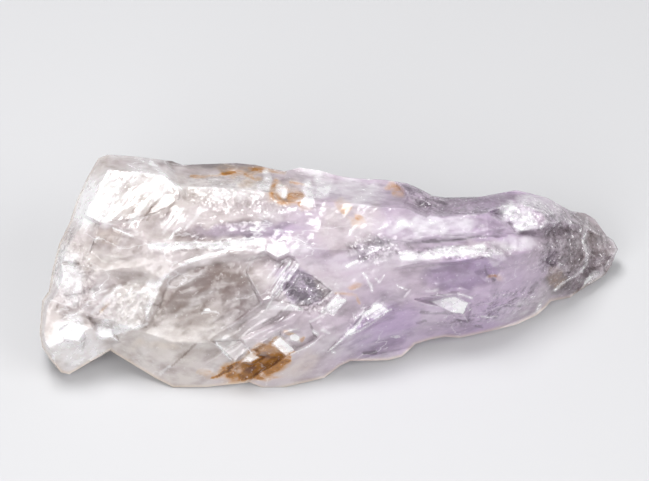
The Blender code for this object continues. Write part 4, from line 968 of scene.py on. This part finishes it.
# What they do to the stone: (noise from, noise to, effect from, effect to)
LILAC_BY_CLOUDS = (0.3, 0.7, -0.2, 0.2)
SHADE_BY_VEILS = (0.35, 0.7, -0.17, 0.38)
SHADE_BY_MOTTLE = (0.3, 0.7, 0.16, -0.16)
SHADE_BY_FLECKS = (0.36, 0.64, 0.8, -0.6)
STAIN_BY_VEILS = (0.3, 0.62, 0.7, 1.35)
STAIN_BY_MOTTLE = (0.35, 0.65, 0.6, 1.25)
FROST_AND_HIGHLIGHT_BY_MOTTLE = (0.35, 0.6, 0.55, 1.15)
FRACTURES_BY_CRACKS = (0, 0.012, 1, 0)  # from the middle value of the cracks, to both sides
FRACTURES_BY_CLOUDS = (0.45, 0.6, 0, 1)
GLINTS_BY_NOISE = (0.6, 0.72, 0, 1)
GLINTS_BY_FLECKS = (0.45, 0.6, 0, 1)
# And what the painted amounts do: (amount from, amount to, effect from, effect to)
GLINTS_BY_SPARKLE = (0, 1, 0.4, 1.4)
TILT_BY_SPARKLE = (0, 1, 0.06, 0.7)
SHADE_COVER = (0, 1, 0, 0.85)
SMOKE_AND_SHADE_BY_LILAC = (0, 0.6, 0, 1)
STAIN_COVER = (0, 0.8, 0, 0.95)
RIM_LIGHT_COVER = (0, 1, 0, 0.7)
ROUGHNESS_BY_FROST_AND_HIGHLIGHT = (0, 1, 0.16, 0.32)
LIGHT_BY_CLEARNESS = (0, 1, 0.35, 0.9)  # share of the light that is let through
LIGHT_BY_STAIN = (0, 1, 1, 0.4)
FRACTURE_FROST = 0.5
STAIN_REACH = 0.75  # how far into STAINS a full stain goes
CLEARNESS_BY_FROST_AND_HIGHLIGHT = -0.5
IOR = 1.544
SCATTERED = 0.5  # share of the light that comes out again near where it went in
SCATTER_RADIUS = (1, 0.9, 1)  # in red, green and blue, as multiples of SCATTER_DEPTH
SCATTER_DEPTH = 0.0006
ABSORPTION = (0.60, 0.50, 0.62, 1)
ABSORPTION_DENSITY = 90
GRAIN_SCALES = (1600, 4200)
ETCHING_STRENGTH = 0.5
ETCHING_DEPTH = 0.00003
FLOOR_GREY = colour(185, 185, 187)
FLOOR_ROUGHNESS = 0.7
FLOOR_SIZE = 4
# Soft lights that shine on the crystal: (name, place, size, watts)
SOFTBOXES = [
    ("key", (-0.08, 0.05, 0.34), 0.15, 1.1),
    ("fill", (-0.17, -0.345, 0.22), 0.30, 1.4),
    ("tip light", (0.22, -0.12, 0.20), 0.22, 0.5),
]
WORLD_LIGHT = 0.31
CLOSEST_SEEN = 0.001


def amethyst():
    """Milky to lilac quartz with frosted edges, painted highlights, glints and shade, a painted warm rim
    light, clearer stretches and iron stains.
    """
    material = bpy.data.materials.new("amethyst")
    material.use_nodes = True
    nodes, links = material.node_tree.nodes, material.node_tree.links
    shader = nodes["Principled BSDF"]

    def node(kind, **settings):
        made = nodes.new(kind)
        for name, value in settings.items():
            setattr(made, name, value)
        return made

    def fill(socket, value):
        if isinstance(value, bpy.types.NodeSocket):
            links.new(value, socket)
        else:
            socket.default_value = value

    def amount(name):
        return node("ShaderNodeAttribute", attribute_name=name).outputs["Fac"]

    def texture(kind, scale, stretch=1, lean=0, **inputs):
        mapping = node("ShaderNodeMapping")
        fill(mapping.inputs["Vector"], node("ShaderNodeTexCoord").outputs["Object"])
        fill(mapping.inputs["Scale"], (stretch, 1, 1))
        fill(mapping.inputs["Rotation"], (0, lean, 0))
        made = node(kind)
        fill(made.inputs["Vector"], mapping.outputs["Vector"])
        fill(made.inputs["Scale"], scale)
        for name, value in inputs.items():
            fill(made.inputs[name], value)
        return made

    def noise(scale, detail, stretch=1, lean=0, **inputs):
        return texture("ShaderNodeTexNoise", scale, stretch, lean, Detail=detail, **inputs).outputs["Fac"]

    def calculated(operation, *values):
        made = node("ShaderNodeMath", operation=operation)
        for socket, value in zip(made.inputs, values):
            fill(socket, value)
        return made.outputs[0]

    def plus(a, b):
        return calculated("ADD", a, b)

    def times(a, b):
        return calculated("MULTIPLY", a, b)

    def ranged(value, low, high, to_low=0, to_high=1):
        made = node("ShaderNodeMapRange", clamp=True)
        for name, number in (("Value", value), ("From Min", low), ("From Max", high), ("To Min", to_low),
                             ("To Max", to_high)):
            fill(made.inputs[name], number)
        return made.outputs["Result"]

    def blend(share, a, b):
        made = node("ShaderNodeMix", data_type="RGBA")
        fill(made.inputs["Factor"], share)
        first, second = (socket for socket in made.inputs if socket.type == "RGBA")
        fill(first, a)
        fill(second, b)
        return next(socket for socket in made.outputs if socket.type == "RGBA")

    def vector(operation, first, *others):
        made = node("ShaderNodeVectorMath", operation=operation)
        fill(made.inputs[0], first)
        for value in others:
            fill(made.inputs["Scale" if operation == "SCALE" else 1], value)
        return made.outputs[0]

    def ramp(value, stops):
        made = node("ShaderNodeValToRGB")
        fill(made.inputs[0], value)
        elements = made.color_ramp.elements
        for place, shade_there in stops[1:-1]:
            elements.new(place).color = shade_there
        elements[0].color, elements[-1].color = stops[0][1], stops[-1][1]
        return made.outputs["Color"]

    clouds = noise(*CLOUDS)
    veils = noise(*VEILS, Distortion=VEIL_CURLS)
    mottle = noise(*MOTTLE)
    flecks = noise(*FLECKS, Roughness=FLECK_ROUGHNESS)
    # Thin pale fractures inside, where a stretched noise crosses its middle value, and only in places
    from_crack = calculated("ABSOLUTE", calculated("SUBTRACT", noise(*CRACKS), 0.5))
    fractures = times(ranged(from_crack, *FRACTURES_BY_CRACKS), ranged(clouds, *FRACTURES_BY_CLOUDS))
    lilac = plus(ranged(clouds, *LILAC_BY_CLOUDS), amount("lilac"))
    shade = plus(ranged(veils, *SHADE_BY_VEILS), amount("shade"))
    shade = plus(shade, ranged(mottle, *SHADE_BY_MOTTLE))
    shade = plus(shade, times(ranged(flecks, *SHADE_BY_FLECKS), amount("sparkle")))
    stain = times(amount("stain"), ranged(veils, *STAIN_BY_VEILS))
    stain = times(stain, ranged(mottle, *STAIN_BY_MOTTLE))
    frost_and_highlight = times(amount("frost_and_highlight"), ranged(mottle, *FROST_AND_HIGHLIGHT_BY_MOTTLE))
    frost_and_highlight = plus(frost_and_highlight, times(fractures, FRACTURE_FROST))
    # Painted glints: small white specks, more where the stone sparkles
    glints = times(ranged(noise(*GLINTS), *GLINTS_BY_NOISE), ranged(flecks, *GLINTS_BY_FLECKS))
    frost_and_highlight = plus(frost_and_highlight, times(glints, ranged(amount("sparkle"), *GLINTS_BY_SPARKLE)))
    tint = blend(ranged(lilac, 0, 1), MILK, LILAC)
    # Smoky grey tone, and painted shade in hollows, along ridges and under ledges
    tint = blend(ranged(shade, *SHADE_COVER), tint, blend(ranged(lilac, *SMOKE_AND_SHADE_BY_LILAC), WARM_SMOKE_AND_SHADE, SMOKE_AND_SHADE))
    tint = blend(ranged(stain, *STAIN_COVER), tint, ramp(times(stain, STAIN_REACH), STAINS))
    # Frost, painted highlights and painted glints turn the colour white
    tint = blend(ranged(frost_and_highlight, 0, 1), tint, WHITE)
    # The painted warm rim light
    tint = blend(ranged(amount("painted_rim_light"), *RIM_LIGHT_COVER), tint, RIM_LIGHT_CREAM)
    fill(shader.inputs["Base Color"], tint)
    fill(shader.inputs["Roughness"], ranged(frost_and_highlight, *ROUGHNESS_BY_FROST_AND_HIGHLIGHT))
    clearness = calculated("MULTIPLY_ADD", frost_and_highlight, CLEARNESS_BY_FROST_AND_HIGHLIGHT, amount("clear"))
    let_through = times(ranged(clearness, *LIGHT_BY_CLEARNESS), ranged(stain, *LIGHT_BY_STAIN))
    fill(shader.inputs["Transmission Weight"], let_through)
    fill(shader.inputs["IOR"], IOR)
    fill(shader.inputs["Subsurface Weight"], SCATTERED)
    fill(shader.inputs["Subsurface Radius"], SCATTER_RADIUS)
    fill(shader.inputs["Subsurface Scale"], SCATTER_DEPTH)
    # Crystal grains too small for the mesh, each with a tilt of its own that comes from two random colours
    grains = [texture("ShaderNodeTexVoronoi", scale).outputs["Color"] for scale in GRAIN_SCALES]
    tilts = vector("SUBTRACT", vector("ADD", *grains), (1, 1, 1))
    tilts = vector("SCALE", tilts, ranged(amount("sparkle"), *TILT_BY_SPARKLE))
    normal = vector("ADD", node("ShaderNodeNewGeometry").outputs["Normal"], tilts)
    bump = node("ShaderNodeBump")
    fill(bump.inputs["Strength"], ETCHING_STRENGTH)
    fill(bump.inputs["Distance"], ETCHING_DEPTH)
    fill(bump.inputs["Height"], noise(*ETCHING))
    fill(bump.inputs["Normal"], vector("NORMALIZE", normal))
    fill(shader.inputs["Normal"], bump.outputs["Normal"])
    absorption = node("ShaderNodeVolumeAbsorption")
    fill(absorption.inputs["Color"], ABSORPTION)
    fill(absorption.inputs["Density"], ABSORPTION_DENSITY)
    fill(nodes["Material Output"].inputs["Volume"], absorption.outputs["Volume"])
    return material


def floor_material():
    material = bpy.data.materials.new("floor")
    material.use_nodes = True
    shader = material.node_tree.nodes["Principled BSDF"]
    shader.inputs["Base Color"].default_value = FLOOR_GREY
    shader.inputs["Roughness"].default_value = FLOOR_ROUGHNESS
    return material


def aimed(obj, place, target):
    obj.location = place
    obj.rotation_euler = (Vector(target) - Vector(place)).to_track_quat("-Z", "Y").to_euler()
    bpy.context.scene.collection.objects.link(obj)


def softbox(name, place, size, energy):
    light = bpy.data.lights.new(name, "AREA")
    light.size = size
    light.energy = energy
    aimed(bpy.data.objects.new(name, light), place, (0, 0, 0))


def studio():
    bpy.ops.mesh.primitive_plane_add(size=FLOOR_SIZE)
    floor = bpy.context.object
    floor.name = "floor"
    floor.data.materials.append(floor_material())
    for light in SOFTBOXES:
        softbox(*light)
    world = bpy.data.worlds.new("studio")
    bpy.context.scene.world = world
    world.use_nodes = True
    background = world.node_tree.nodes["Background"]
    background.inputs["Color"].default_value = (1, 1, 1, 1)
    background.inputs["Strength"].default_value = WORLD_LIGHT
    bpy.context.scene.view_settings.view_transform = "Standard"


def camera():
    target = Vector(FACE_PLACE) * MM
    lens = bpy.data.cameras.new("camera")
    lens.lens = PIXELS_PER_MM * SIGHT_DISTANCE * lens.sensor_width / IMAGE_WIDTH
    lens.clip_start = CLOSEST_SEEN
    obj = bpy.data.objects.new("camera", lens)
    aimed(obj, target + Vector(AWAY) * SIGHT_DISTANCE * MM, target)
    bpy.context.scene.camera = obj


stone = bpy.data.objects.new("amethyst_stone", stone_mesh())
bpy.context.scene.collection.objects.link(stone)
paint(stone.data)
stone.data.materials.append(amethyst())
stone.data.shade_smooth()
stone.data.set_sharp_from_angle(angle=math.radians(SHARP_ANGLE_DEG))
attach(stone, "root")
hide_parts(NAME)

camera()
studio()
